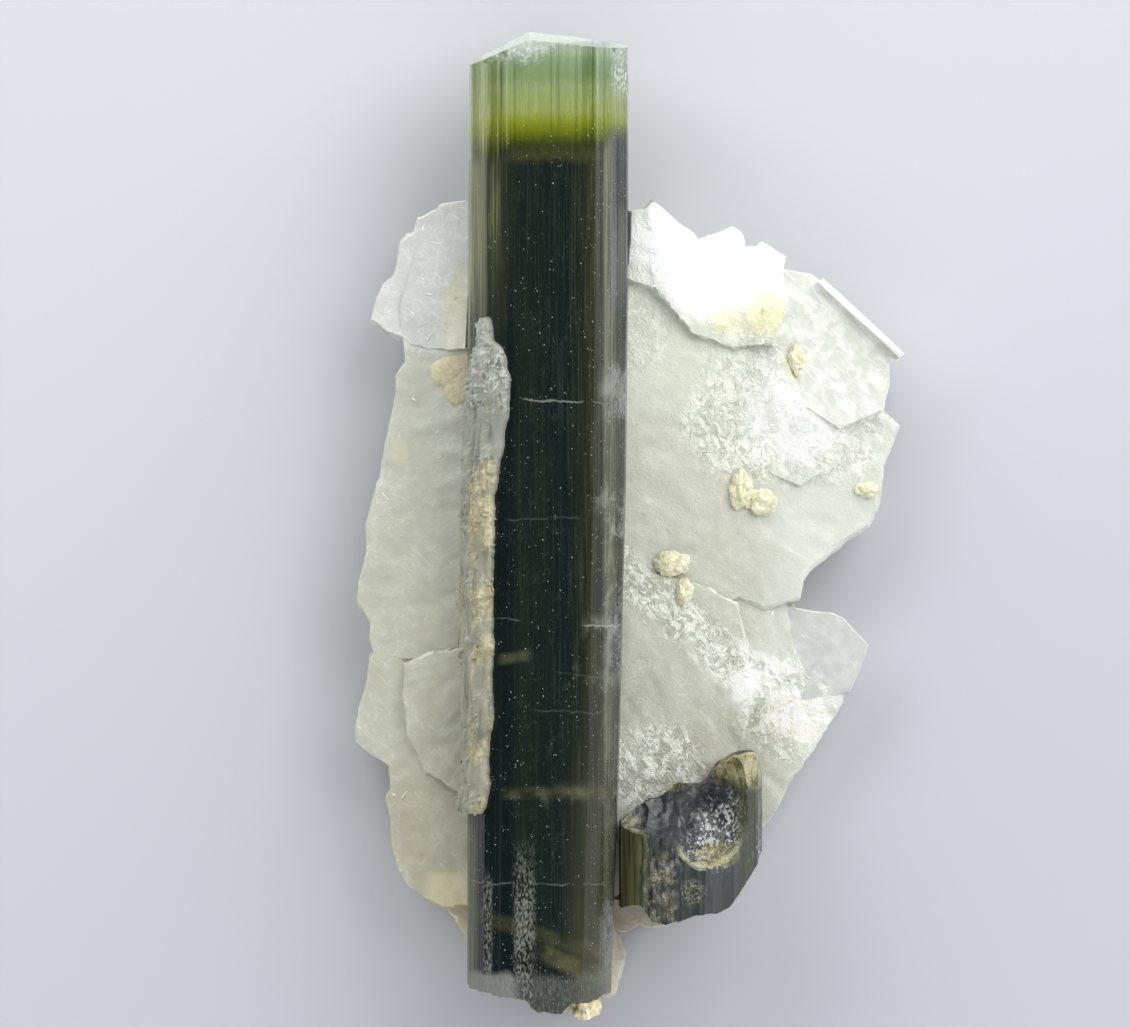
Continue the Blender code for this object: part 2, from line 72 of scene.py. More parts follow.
class Signal:
    """A number socket in a node tree, so that its maths reads as an expression."""

    def __init__(self, tree: "NodeTree", socket: Socket) -> None:
        """Wrap a socket of a tree."""
        self.tree = tree
        self.socket = socket

    def math(self, operation: str, *others: Number, first: bool = True) -> "Signal":
        """Return a Math node's result on this number, put in first or last."""
        values = [self, *others] if first else [*others, self]
        return self.tree.signal("ShaderNodeMath", {"operation": operation}, dict(enumerate(values)))

    def __add__(self, other: Number) -> "Signal":
        """Sum, from either side."""
        return self.math("ADD", other)

    def __sub__(self, other: Number) -> "Signal":
        """Difference."""
        return self.math("SUBTRACT", other)

    def __rsub__(self, other: float) -> "Signal":
        """Difference, reflected."""
        return self.math("SUBTRACT", other, first=False)

    def __mul__(self, other: Number) -> "Signal":
        """Product, from either side."""
        return self.math("MULTIPLY", other)

    def __truediv__(self, other: Number) -> "Signal":
        """Quotient."""
        return self.math("DIVIDE", other)

    def __abs__(self) -> "Signal":
        """Size without its sign."""
        return self.math("ABSOLUTE")

    __radd__ = __add__
    __rmul__ = __mul__

    def least(self, other: Number) -> "Signal":
        """Return the smaller of two numbers."""
        return self.math("MINIMUM", other)

    def most(self, other: Number) -> "Signal":
        """Return the larger of two numbers."""
        return self.math("MAXIMUM", other)

    def ramp(self, start: float, end: float) -> "Signal":
        """Rise smoothly from 0 at one value to 1 at another, in either order.

        Args:
            start: The value where the result is 0.
            end: The value where the result is 1.

        Returns:
            The smooth step.
        """
        settings = {"interpolation_type": "SMOOTHSTEP", "clamp": True}
        inputs = {"Value": self, "From Min": min(start, end), "From Max": max(start, end)}
        step = self.tree.signal("ShaderNodeMapRange", settings, inputs)
        return step if start < end else 1.0 - step

    def band(self, middle: float, width: float, soft: float) -> "Signal":
        """Be 1 within a band of this number and fall softly to 0 outside it."""
        return abs(self - middle).ramp(width + soft, width)


def strongest(masks: Iterable[Signal]) -> Signal:
    """Return the strongest of several masks at each place."""
    return reduce(Signal.most, masks)


def rgba(value: Any) -> Any:
    """Give a plain colour its fourth number; anything else passes as it is."""
    return (*value, 1.0) if isinstance(value, tuple) else value


class NodeTree:
    """A node tree under construction."""

    def __init__(self, tree: bpy.types.NodeTree) -> None:
        """Take hold of a tree's nodes and links."""
        self.nodes = tree.nodes
        self.links = tree.links

    def node(
        self, kind: str, settings: dict[str, Any] | None = None, inputs: dict[Any, Any] | None = None
    ) -> bpy.types.Node:
        """Add a node.

        Args:
            kind: The node's type.
            settings: Its settings, set first; "stops" holds a colour ramp's stops.
            inputs: Values, signals or sockets for its inputs, by name or number.

        Returns:
            The new node.
        """
        node = self.nodes.new(kind)
        for key, value in (settings or {}).items():
            if key == "stops":
                self._set_stops(node.color_ramp.elements, value)
            else:
                setattr(node, key, value)
        for key, value in (inputs or {}).items():
            value = value.socket if isinstance(value, Signal) else value
            if isinstance(value, Socket):
                self.links.new(value, node.inputs[key])
            else:
                node.inputs[key].default_value = value
        return node

    def signal(self, kind: str, settings: dict[str, Any] | None, inputs: dict[Any, Any]) -> Signal:
        """Add a node and return its first output as a number."""
        return Signal(self, self.node(kind, settings, inputs).outputs[0])

    @staticmethod
    def _set_stops(elements: bpy.types.bpy_prop_collection, stops: Stops) -> None:
        """Give a colour ramp its stops.

        Args:
            elements: The ramp's own stops.
            stops: Places and colours.
        """
        while len(elements) > 1:
            elements.remove(elements[-1])
        elements[0].position = stops[0][0]
        elements[0].color = rgba(stops[0][1])
        for position, color in stops[1:]:
            elements.new(position).color = rgba(color)

    def vector(self, x: Number, y: Number, z: Number) -> Socket:
        """Join three numbers into a vector."""
        return self.node("ShaderNodeCombineXYZ", None, {0: x, 1: y, 2: z}).outputs[0]

    def noise(self, spot: Socket, scale: float, detail: float = 3.0, twist: float = 0.0) -> Signal:
        """Return soft noise, about 0.2 to 0.8, with a scale, octaves of finer noise and a distortion."""
        inputs = {"Vector": spot, "Scale": scale, "Detail": detail, "Distortion": twist}
        return self.signal("ShaderNodeTexNoise", None, inputs)


class ShaderTree(NodeTree):
    """A material under construction."""

    def __init__(self, owner: str | bpy.types.World) -> None:
        """Start an empty material.

        Args:
            owner: The new material's name, or a world whose nodes are emptied.
        """
        plain = isinstance(owner, str)
        self.material = bpy.data.materials.new(owner) if plain else owner
        self.material.use_nodes = True
        super().__init__(self.material.node_tree)
        self.nodes.clear()
        self.output = self.node("ShaderNodeOutputMaterial" if plain else "ShaderNodeOutputWorld")

    def coordinates(self, kind: str) -> tuple[Signal, ...]:
        """Return x, y and z of a texture coordinate, such as Object or Normal."""
        parts = self.node("ShaderNodeSeparateXYZ", None, {0: self.node("ShaderNodeTexCoord").outputs[kind]})
        return tuple(Signal(self, output) for output in parts.outputs)

    def place(self) -> tuple[Signal, ...]:
        """Return the place on the object along x, y and z, in millimetres."""
        return tuple(part * (1.0 / MM) for part in self.coordinates("Object"))

    def cracks(self, spot: Socket, scale: float, width: float) -> Signal:
        """Return a net of thin lines of some width between cells, 1 on the lines."""
        inputs = {"Vector": spot, "Scale": scale}
        return self.signal("ShaderNodeTexVoronoi", {"feature": "DISTANCE_TO_EDGE"}, inputs).ramp(width, 0.0)

    def patchwork(self, spot: Socket, scale: float) -> Signal:
        """Return a random number for the cell that a place is in."""
        cells = self.node("ShaderNodeTexVoronoi", None, {"Vector": spot, "Scale": scale})
        return self.signal("ShaderNodeSeparateColor", None, {0: cells.outputs["Color"]})

    def mix(self, share: Number, first: Any, second: Any) -> Socket:
        """Return two colours mixed, with a share of the second."""
        settings = {"data_type": "RGBA", "clamp_factor": True}
        return self.node("ShaderNodeMix", settings, {0: share, 6: rgba(first), 7: rgba(second)}).outputs[2]

    def paint(self, color: Any, *coats: tuple[Number, Any]) -> Socket:
        """Return a colour under coats, each with how much of it shows and its own colour."""
        return reduce(lambda below, coat: self.mix(coat[0], below, coat[1]), coats, color)

    def bump(self, height: Signal, depth: float, strength: Number = 1.0) -> Socket:
        """Return a normal roughened by a height from 0 to 1 that is some millimetres deep."""
        inputs = {"Height": height, "Distance": depth * MM, "Strength": strength}
        return self.node("ShaderNodeBump", None, inputs).outputs[0]

    def principled(self, **inputs: Any) -> Socket:
        """Add a Principled shader; underscores in names stand for spaces."""
        named = {key.replace("_", " "): rgba(value) for key, value in inputs.items()}
        return self.node("ShaderNodeBsdfPrincipled", None, named).outputs[0]

    def blend(self, share: Signal, first: Socket, second: Socket) -> Socket:
        """Mix two shaders."""
        return self.node("ShaderNodeMixShader", None, {0: share, 1: first, 2: second}).outputs[0]

    def finish(self, surface: Socket, absorbs: tuple[Color, float] | None = None) -> Material:
        """Link the surface, and an absorbing inside.

        Args:
            surface: The shader.
            absorbs: The colour that passes the inside, and its density per metre.

        Returns:
            The finished material.
        """
        self.links.new(surface, self.output.inputs["Surface"])
        if absorbs:
            inputs = {"Color": rgba(absorbs[0]), "Density": absorbs[1]}
            inside = self.node("ShaderNodeVolumeAbsorption", None, inputs)
            self.links.new(inside.outputs[0], self.output.inputs["Volume"])
        return self.material


@dataclass(frozen=True)
class Patch:
    """A ragged oval place in a finish: its middle, how flat it is, and where it starts and is full."""

    middle: Point
    flat: Point
    edge: Point
    strength: float = 1.0
    sway: float = 1.0

    def mask(self, x: Signal, y: Signal, sway: Number = 0.0) -> Signal:
        """Return how strongly the patch shows at a place.

        Args:
            x: The place across.
            y: The place along.
            sway: How far the patch's edge is pushed about.

        Returns:
            The patch's share.
        """
        across, length = x - self.middle[0], y - self.middle[1]
        distance = across * across * self.flat[0] + length * length * self.flat[1]
        return (distance + sway * self.sway).ramp(*self.edge) * self.strength


# -------------------------------------------------------------------- finishes


@dataclass(frozen=True)
class HealedCrack:
    """A healed crack across the prism: its height, its two ends, its tilt and how plain it is."""

    level: float
    left: float
    right: float
    tilt: float
    line: float
    cloud: float

    def mask(self, x: Signal, y: Signal, fine: Signal, wander: Signal) -> Signal:
        """Return how strongly the crack shows at a place.

        Args:
            x: The place across.
            y: The place along.
            fine: Fine lengthwise noise.
            wander: Slow noise.

        Returns:
            The crack's share.
        """
        across = x.ramp(self.left - 0.2, self.left + 0.6) * x.ramp(self.right + 0.1, self.right - 0.2)
        height = y + (wander - 0.5) * 0.8 + x * self.tilt - self.tilt * (self.left + self.right) / 2
        line = height.band(self.level, 0.015, 0.07) * (self.line * 0.7)
        mark = across * line * wander.ramp(0.34, 0.56)
        if self.cloud:
            cloud = across * height.band(self.level, 0.1, 0.9) * wander.ramp(0.44, 0.62)
            mark = mark.most(cloud * (self.cloud * 0.35 * (0.4 + fine)))
        return mark


@dataclass(frozen=True)
class TourmalineFinish:
    """Dark ribbed tourmaline that clears to green at its finished end."""

    fade: Point = (23.9, 22.5)
    body: Color = (0.0044, 0.0090, 0.0084)
    blue: Color = (0.0035, 0.0080, 0.0085)
    veil: Color = (0.34, 0.36, 0.31)
    frost: Color = (0.120, 0.130, 0.105)
    pale_frost: Color = (0.22, 0.23, 0.21)
    cloud_and_sheen: Color = (0.30, 0.31, 0.29)
    # colour of cloud along healed cracks and of the painted sheen on the right-hand faces
    olive: Color = (0.30, 0.31, 0.13)
    fade_olive: Color = (0.043, 0.048, 0.015)
    haze: Color = (0.115, 0.112, 0.050)
    brown: Color = (0.050, 0.050, 0.030)
    shade: Color = (0.022, 0.025, 0.018)
    thread: Color = (0.085, 0.088, 0.068)
    warm: Color = (0.58, 0.60, 0.35)
    bright_line: Color = (0.84, 0.86, 0.52)
    dark_line: Color = (0.16, 0.22, 0.08)
    # rim: grey-green frost and, in specks, the near-white of painted glints
    rim: tuple[Color, Color] = ((0.50, 0.56, 0.50), (0.86, 0.89, 0.87))
    inside: tuple[Color, float] = ((0.70, 0.80, 0.50), 25.0)
    across: Stops = (
        (0.000, (0.34, 0.35, 0.27)), (0.025, (0.32, 0.33, 0.21)), (0.060, (0.205, 0.215, 0.095)),
        (0.115, (0.165, 0.172, 0.077)), (0.130, (0.052, 0.060, 0.030)), (0.190, (0.050, 0.058, 0.034)),
        (0.240, (0.026, 0.031, 0.015)), (0.290, (0.012, 0.018, 0.012)), (0.620, (0.006, 0.011, 0.010)),
        (0.720, (0.018, 0.022, 0.011)), (0.780, (0.036, 0.038, 0.018)), (0.835, (0.040, 0.042, 0.022)),
        (0.850, (0.195, 0.200, 0.145)), (0.890, (0.135, 0.140, 0.105)), (0.925, (0.016, 0.018, 0.014)),
        (1.000, (0.020, 0.022, 0.018)),
    )
    across_span: Point = (-9.95, 0.05)
    zones: Stops = (
        (0.00, (0.040, 0.045, 0.005)), (0.10, (0.125, 0.150, 0.008)), (0.20, (0.40, 0.46, 0.030)),
        (0.27, (0.55, 0.61, 0.075)), (0.33, (0.64, 0.69, 0.32)), (0.50, (0.61, 0.69, 0.42)),
        (0.57, (0.49, 0.60, 0.36)), (0.68, (0.52, 0.64, 0.45)), (0.72, (0.69, 0.76, 0.62)),
        (1.00, (0.81, 0.85, 0.76)),
    )
    zone_span: Point = (22.2, 31.4)
    bright_lines: tuple[Triple, ...] = ((-8.90, 0.02, 0.08), (-7.97, 0.02, 0.07), (-7.42, 0.02, 0.07))
    dark_lines: tuple[Triple, ...] = (
        (-7.70, 0.05, 0.06), (-4.72, 0.02, 0.05), (-4.28, 0.02, 0.05), (-2.2, 0.02, 0.05), (-1.5, 0.02, 0.06),
    )
    chips: tuple[Patch, ...] = (
        Patch((-7.8, 28.9), (1.0, 1.0), (0.30, 0.10)),
        Patch((-0.5, 27.6), (1.0, 1.0), (0.30, 0.10)),
    )
    cracks: tuple[HealedCrack, ...] = tuple(HealedCrack(*row) for row in (
        (7.65, -6.6, -1.6, 0.06, 0.6, 0.0), (8.2, -1.9, 0.0, 0.2, 0.4, 1.0),
        (1.7, -2.4, 0.0, 0.05, 0.4, 0.8), (0.5, -7.6, -3.0, -0.03, 0.12, 0.0),
        (-0.2, -1.9, -0.2, 0.1, 0.2, 0.8), (-6.0, -2.9, 0.0, 0.02, 1.0, 0.9),
        (-5.6, -8.2, -6.6, 0.1, 0.25, 0.0), (-9.1, -5.0, -0.3, 0.12, 0.2, 0.5),
        (-11.2, -6.0, -1.6, 0.05, 0.12, 0.0), (-16.2, -6.0, -1.4, -0.04, 0.15, 0.3),
        (-21.7, -9.9, -1.4, 0.02, 0.30, 0.0),
    ))

    def build(self) -> Material:
        """Build the material.

        Returns:
            The material.
        """
        tree = ShaderTree("green_tourmaline")
        x, y, z = tree.place()
        drawn = tree.vector(x, y * 0.02, z)
        streak = tree.noise(drawn, 2.4, 2.0)
        fine = tree.noise(drawn, 9.0, 3.0)
        speck = tree.noise(tree.vector(x * 1.2, y, z), 3.6, 4.0, 0.4)
        # frost on the rim and chips: real grey-green frost, its near-white specks painted glints
        pale = tree.mix(speck.ramp(0.46, 0.72), *self.rim)
        white = tree.principled(Base_Color=pale, Roughness=0.45, IOR=1.5, Normal=tree.bump(speck, 0.06, 0.7))
        clear = tree.blend(self._frosted(x, y, speck), self._green(tree, x, y, fine), white)
        lag = x.ramp(-1.7, -0.9) * 0.9 - x.ramp(-7.0, -8.4) * 0.9
        dark = (y + (streak - 0.5) * 1.2 - lag).ramp(*self.fade)
        glow = x.ramp(-7.4, -9.2) * y.ramp(8.0, 22.0) * fine.ramp(0.40, 0.62) * 0.35
        surface = tree.blend(dark * (1.0 - glow), clear, self._body(tree, x, y, z, streak, fine))
        return tree.finish(surface, absorbs=self.inside)

    def _green(self, tree: ShaderTree, x: Signal, y: Signal, fine: Signal) -> Socket:
        """Build the clear green part, with its zones and its lengthwise lines.

        Args:
            tree: The material.
            x: The place across.
            y: The place along.
            fine: Fine lengthwise noise.

        Returns:
            The shader.
        """
        low, high = self.zone_span
        level = (y - low) * (1.0 / (high - low))
        zones = tree.node("ShaderNodeValToRGB", {"stops": self.zones}, {0: level}).outputs[0]
        bright = strongest(x.band(*line) for line in self.bright_lines)
        dark = strongest(x.band(*line) for line in self.dark_lines) + fine.ramp(0.44, 0.32) * 0.25
        color = tree.paint(
            zones,
            (x.ramp(-7.0, -9.0) * 0.55, self.warm),
            (bright * 0.55 + fine.ramp(0.60, 0.75) * 0.1, self.bright_line),
            (dark * 0.35, self.dark_line),
        )
        glass = tree.principled(
            Base_Color=color,
            Roughness=0.04 + fine * 0.06,
            IOR=1.63,
            Transmission_Weight=1.0,
            Normal=tree.bump(fine, 0.03, 0.4),
        )
        squared = tree.node("ShaderNodeVectorMath", {"operation": "MULTIPLY"}, {0: color, 1: color})
        milky = tree.principled(Base_Color=squared.outputs[0], Roughness=0.3, IOR=1.5)
        return tree.blend(0.30 + fine.ramp(0.40, 0.62) * 0.12, glass, milky)

    def _frosted(self, x: Signal, y: Signal, speck: Signal) -> Signal:
        """Return where the green part is frosted white: its rim, corner, chips and left edge.

        Args:
            x: The place across.
            y: The place along.
            speck: Coarse noise.

        Returns:
            The share of frost.
        """
        slant = (y - 29.3 - (x + 6.3) * 0.42).least(y - 29.3 + (x + 6.3) * 0.10)
        rim = slant + (speck - 0.5) * 0.9
        corner = x.ramp(-1.4, -0.5) * y.ramp(25.6, 27.4)
        chip = strongest(patch.mask(x, y) for patch in self.chips)
        return strongest((
            rim.ramp(-1.5, -0.2) * 0.58,
            corner * speck.ramp(0.10, 0.80) * 0.55,
            chip * speck.ramp(0.40, 0.56) * 0.5,
            x.ramp(-9.4, -9.8) * 0.4,
        ))

    def _body(
        self, tree: ShaderTree, x: Signal, y: Signal, z: Signal, streak: Signal, fine: Signal
    ) -> Socket:
        """Build the dark part, with olive edges, healed cracks, haze and frosted places.

        Args:
            tree: The material.
            x: The place across.
            y: The place along.
            z: The place upwards.
            streak: Broad lengthwise noise.
            fine: Fine lengthwise noise.

        Returns:
            The shader.
        """
        wander = tree.noise(tree.vector(x, y * 0.8, z), 0.9, 3.0)
        grit = tree.noise(tree.vector(x * 1.4, y * 0.5, z * 1.1), 7.0, 3.0)
        left, right = self.across_span
        place = (x - left) * (1.0 / (right - left))
        across = tree.node("ShaderNodeValToRGB", {"stops": self.across}, {0: place}).outputs[0]
        plain = tree.mix(streak.ramp(0.42, 0.60), self.body, self.blue)
        reach = (y + streak * 6.0).ramp(12.0, 21.0).most(x.ramp(-9.0, -9.5) * 0.28)
        middle = x.ramp(-7.2, -6.6)
        share = middle + (1.0 - middle) * reach
        low = y.ramp(-8.0, -26.0) * x.ramp(-4.6, -2.6) * (0.5 + streak * 0.5)
        lower = y.ramp(9.0, 4.0) * x.ramp(-1.9, -1.4) * (0.4 + wander.ramp(0.56, 0.44) * 0.6)
        threads = fine.ramp(0.50, 0.68) * x.ramp(-7.6, -6.4) * (0.4 + x.ramp(-5.5, -3.0) * 0.6)
        start = (y + (streak - 0.5) * 0.6).ramp(21.9, 22.6) * x.ramp(-1.0, -2.4) * x.ramp(-8.0, -6.8)
        haze = strongest((
            y.band(-16.2, 0.12, 0.4) * x.ramp(-8.0, -7.4),
            (y + x * 0.45).band(-28.2, 0.25, 0.6) * x.ramp(-6.2, -4.8),
            (y + x * 0.30).band(-26.4, 0.2, 0.5) * 0.6,
            (y - x * 0.15).band(-6.9, 0.15, 0.35) * x.ramp(-8.2, -7.6) * x.ramp(-5.6, -6.6),
        ))
        dusty = (grit * 0.8 + wander * 0.3).ramp(0.56, 0.82) * x.ramp(-9.0, -7.0)
        band = x.band(-6.35, 0.35, 0.5) * y.ramp(-18.5, -22.0)
        edge = x.band(-8.6, 0.1, 0.3) * y.ramp(-20.5, -22.5)
        frost = (band.most(edge) * (grit + wander * 0.4).ramp(0.58, 0.86)) * 0.8
        foot = (y + (wander - 0.5) * 1.2).ramp(-26.9, -27.6)
        foot = foot * (0.25 + x.ramp(-6.3, -7.4) * 0.65 + grit.ramp(0.5, 0.62) * 0.2)
        frost = frost.most(foot)
        color = tree.paint(
            plain,
            (share * (0.50 + fine.ramp(0.36, 0.66) * 0.50), across),
            (x.ramp(-7.0, -9.0) * reach * fine.ramp(0.56, 0.68) * 0.45, self.olive),
            (low * 0.8, self.brown),
            (lower * 0.42, self.shade),
            (threads * 0.15, self.thread),
            (start * 0.8, self.fade_olive),
            # partly cloud along healed cracks, partly painted sheen on the right-hand faces
            (self._cloud_and_sheen(x, y, grit, wander) * z.ramp(4.5, 8.5), self.cloud_and_sheen),
            (haze * wander.ramp(0.20, 0.75) * 0.6, self.haze),
            (dusty * 0.055, self.veil),
            *((crack.mask(x, y, fine, wander), self.veil) for crack in self.cracks),
            (frost, tree.mix(grit, self.frost, self.pale_frost)),
        )
        return tree.principled(
            Base_Color=color,
            Roughness=0.13 + fine * 0.14 + frost * 0.4,
            IOR=1.52,
            Specular_IOR_Level=0.42,
            Normal=tree.bump(fine * 0.6 + grit * 0.4, 0.035, 0.5),
        )

    @staticmethod
    def _cloud_and_sheen(x: Signal, y: Signal, grit: Signal, wander: Signal) -> Signal:
        """Return where the right-hand sides are whitish: cloud along the healed cracks, with a painted sheen
        over the rest of these faces.

        Args:
            x: The place across.
            y: The place along.
            grit: Fine noise.
            wander: Slow noise.

        Returns:
            The share of cloud.
        """
        zones = strongest((y.band(8.2, 0.8, 1.6), y.band(0.6, 0.8, 1.2) * 0.6, y.band(-6.0, 2.2, 2.2) * 0.5))
        zones = (zones * 0.8 + 0.18).most(y.ramp(-21.0, -24.0) * 0.9)
        return x.ramp(-1.9, -1.0) * (grit * 0.7 + wander * 0.5 + zones * 0.32).ramp(0.75, 0.95) * 0.52


@dataclass(frozen=True)
class BrokenTourmalineFinish:
    """Slate-dark broken tourmaline, amber where it is thin, with painted glints in its broken hollow."""

    slate: Color = (0.050, 0.055, 0.052)
    dark: Color = (0.018, 0.024, 0.027)
    grey: Color = (0.075, 0.080, 0.075)
    brown: Color = (0.085, 0.080, 0.052)
    olive: Color = (0.125, 0.128, 0.049)
    right: Color = (0.050, 0.052, 0.026)
    wall: Color = (0.085, 0.088, 0.042)
    blocks: Color = (0.30, 0.30, 0.24)
    worn: Color = (0.26, 0.26, 0.17)
    horn: Color = (0.30, 0.30, 0.18)
    amber: Color = (0.215, 0.175, 0.045)
    cream: Color = (0.47, 0.47, 0.30)
    # painted glints: the colour of bright specks painted into the hollow
    painted_glint: Color = (0.62, 0.66, 0.64)
    worn_patch: Patch = Patch((3.9, -22.3), (1.2, 1.0), (1.1, 0.2))
    lip: Patch = Patch((5.4, -20.1), (0.35, 1.0), (0.9, 0.2), 0.7)

    def build(self) -> Material:
        """Build the material.

        Returns:
            The material.
        """
        tree = ShaderTree("broken_tourmaline")
        x, y, z = tree.place()
        spot = tree.vector(x, y, z)
        fine = tree.noise(tree.vector(x, y * 0.05, z), 4.0, 3.0)
        rough = tree.noise(spot, 1.1, 4.0, 0.3)
        grit = tree.noise(spot, 7.0, 3.0, 0.6)
        bits = tree.patchwork(tree.vector(x + rough * 0.8, y + grit * 0.5, z), 5.6)
        both = rough * 0.5 + grit * 0.5
        blocky = x.band(2.1, 0.6, 0.5) * y.ramp(-18.6, -19.4)
        hollow = self._hollow(x, y, z)
        lively = (x * 0.9 - y - 21.6 + (rough - 0.5) * 4.0).ramp(-0.9, 1.6)
        lively = hollow * lively * x.ramp(2.4, 5.0) * y.band(-18.5, 2.1, 1.2)
        # painted glints: pale specks painted where light would catch the hollow's broken facets
        painted_sparks = (bits + lively * 0.12).ramp(0.81, 0.87).most((grit - bits * 0.1).ramp(0.54, 0.60) * 0.5)
        tone = (rough * 0.6 + grit * 0.4 + x.ramp(5.6, 7.6) * 0.06).ramp(0.45, 0.70)
        color = tree.paint(
            self.slate,
            (fine.ramp(0.38, 0.62) * 0.8, self.dark),
            (x.ramp(1.5, 0.8), tree.mix(fine.ramp(0.36, 0.74), self.olive, self.dark)),
            (x.ramp(6.4, 7.2) * 0.7, self.right),
            (blocky * rough.ramp(0.40, 0.60), self.brown),
            (blocky * both.ramp(0.54, 0.62) * 0.7, self.blocks),
            (self.worn_patch.mask(x, y) * grit.ramp(0.44, 0.60) * 0.6, self.worn),
            (hollow, tree.mix((rough * 0.7 + grit * 0.3).ramp(0.34, 0.74), self.dark, self.grey)),
            (lively * painted_sparks * 0.8, self.painted_glint),
            (x.ramp(1.2, 0.4) * hollow * y.ramp(-17.6, -18.2) * rough.ramp(0.40, 0.54) * 0.7, self.horn),
            (hollow * x.ramp(6.3, 7.0) * y.ramp(-20.5, -19.0) * 0.8, self.wall),
            (
                self._amber(x, y) * z.ramp(5.5, 7.5) * (rough * 0.5 + fine * 0.5).ramp(0.36, 0.52),
                tree.mix(tone, self.amber, self.cream),
            ),
            (self._lower_rim(x, y) * z.ramp(8.6, 9.2) * both.ramp(0.42, 0.53) * 0.9, self.cream),
        )
        relief = tree.bump(rough * 0.2 + fine * 0.2 + grit * 0.2 + bits * lively * 0.3, 0.12, 0.6)
        return tree.finish(
            tree.principled(Base_Color=color, Roughness=0.22 + rough * 0.25, IOR=1.6, Normal=relief)
        )

    @staticmethod
    def _hollow(x: Signal, y: Signal, z: Signal) -> Signal:
        """Return where the broken hollow is: below the level that the faces would have.

        Args:
            x: The place across.
            y: The place along.
            z: The place upwards.

        Returns:
            The hollow's share.
        """
        away = x - 4.3
        face = 10.6 - away * away * (0.10 + x.ramp(4.2, 4.4) * 0.065)
        face = face.least(9.85 - (x - 6.5) * 1.22).least(8.15 - (x - 7.9) * 3.8)
        above = (y - x.ramp(1.8, 0.6) * 2.0).ramp(-21.4, -21.0)
        return (face - z).ramp(0.12, 0.35) * z.ramp(5.9, 6.4) * above

    def _amber(self, x: Signal, y: Signal) -> Signal:
        """Return the thin amber places: the tip, the rim beside it and the front lip.

        Args:
            x: The place across.
            y: The place along.

        Returns:
            The share of amber.
        """
        tip = (x + y * 0.3).ramp(0.3, 1.0) * y.ramp(-16.4, -15.4)
        back = (y - x * 0.32).band(-16.95, 0.15, 0.30) * x.ramp(2.2, 2.8) * x.ramp(5.1, 4.5)
        return strongest((tip, back * 0.7, self.lip.mask(x, y)))

    @staticmethod
    def _lower_rim(x: Signal, y: Signal) -> Signal:
        """Return the pale thin edge of the hollow above the front face."""
        curve = (x - 4.75) * (x - 4.75) * 0.30 - 20.75
        return (y - curve).band(0.36, 0.38, 0.34) * x.ramp(2.9, 3.4) * x.ramp(7.2, 6.4)


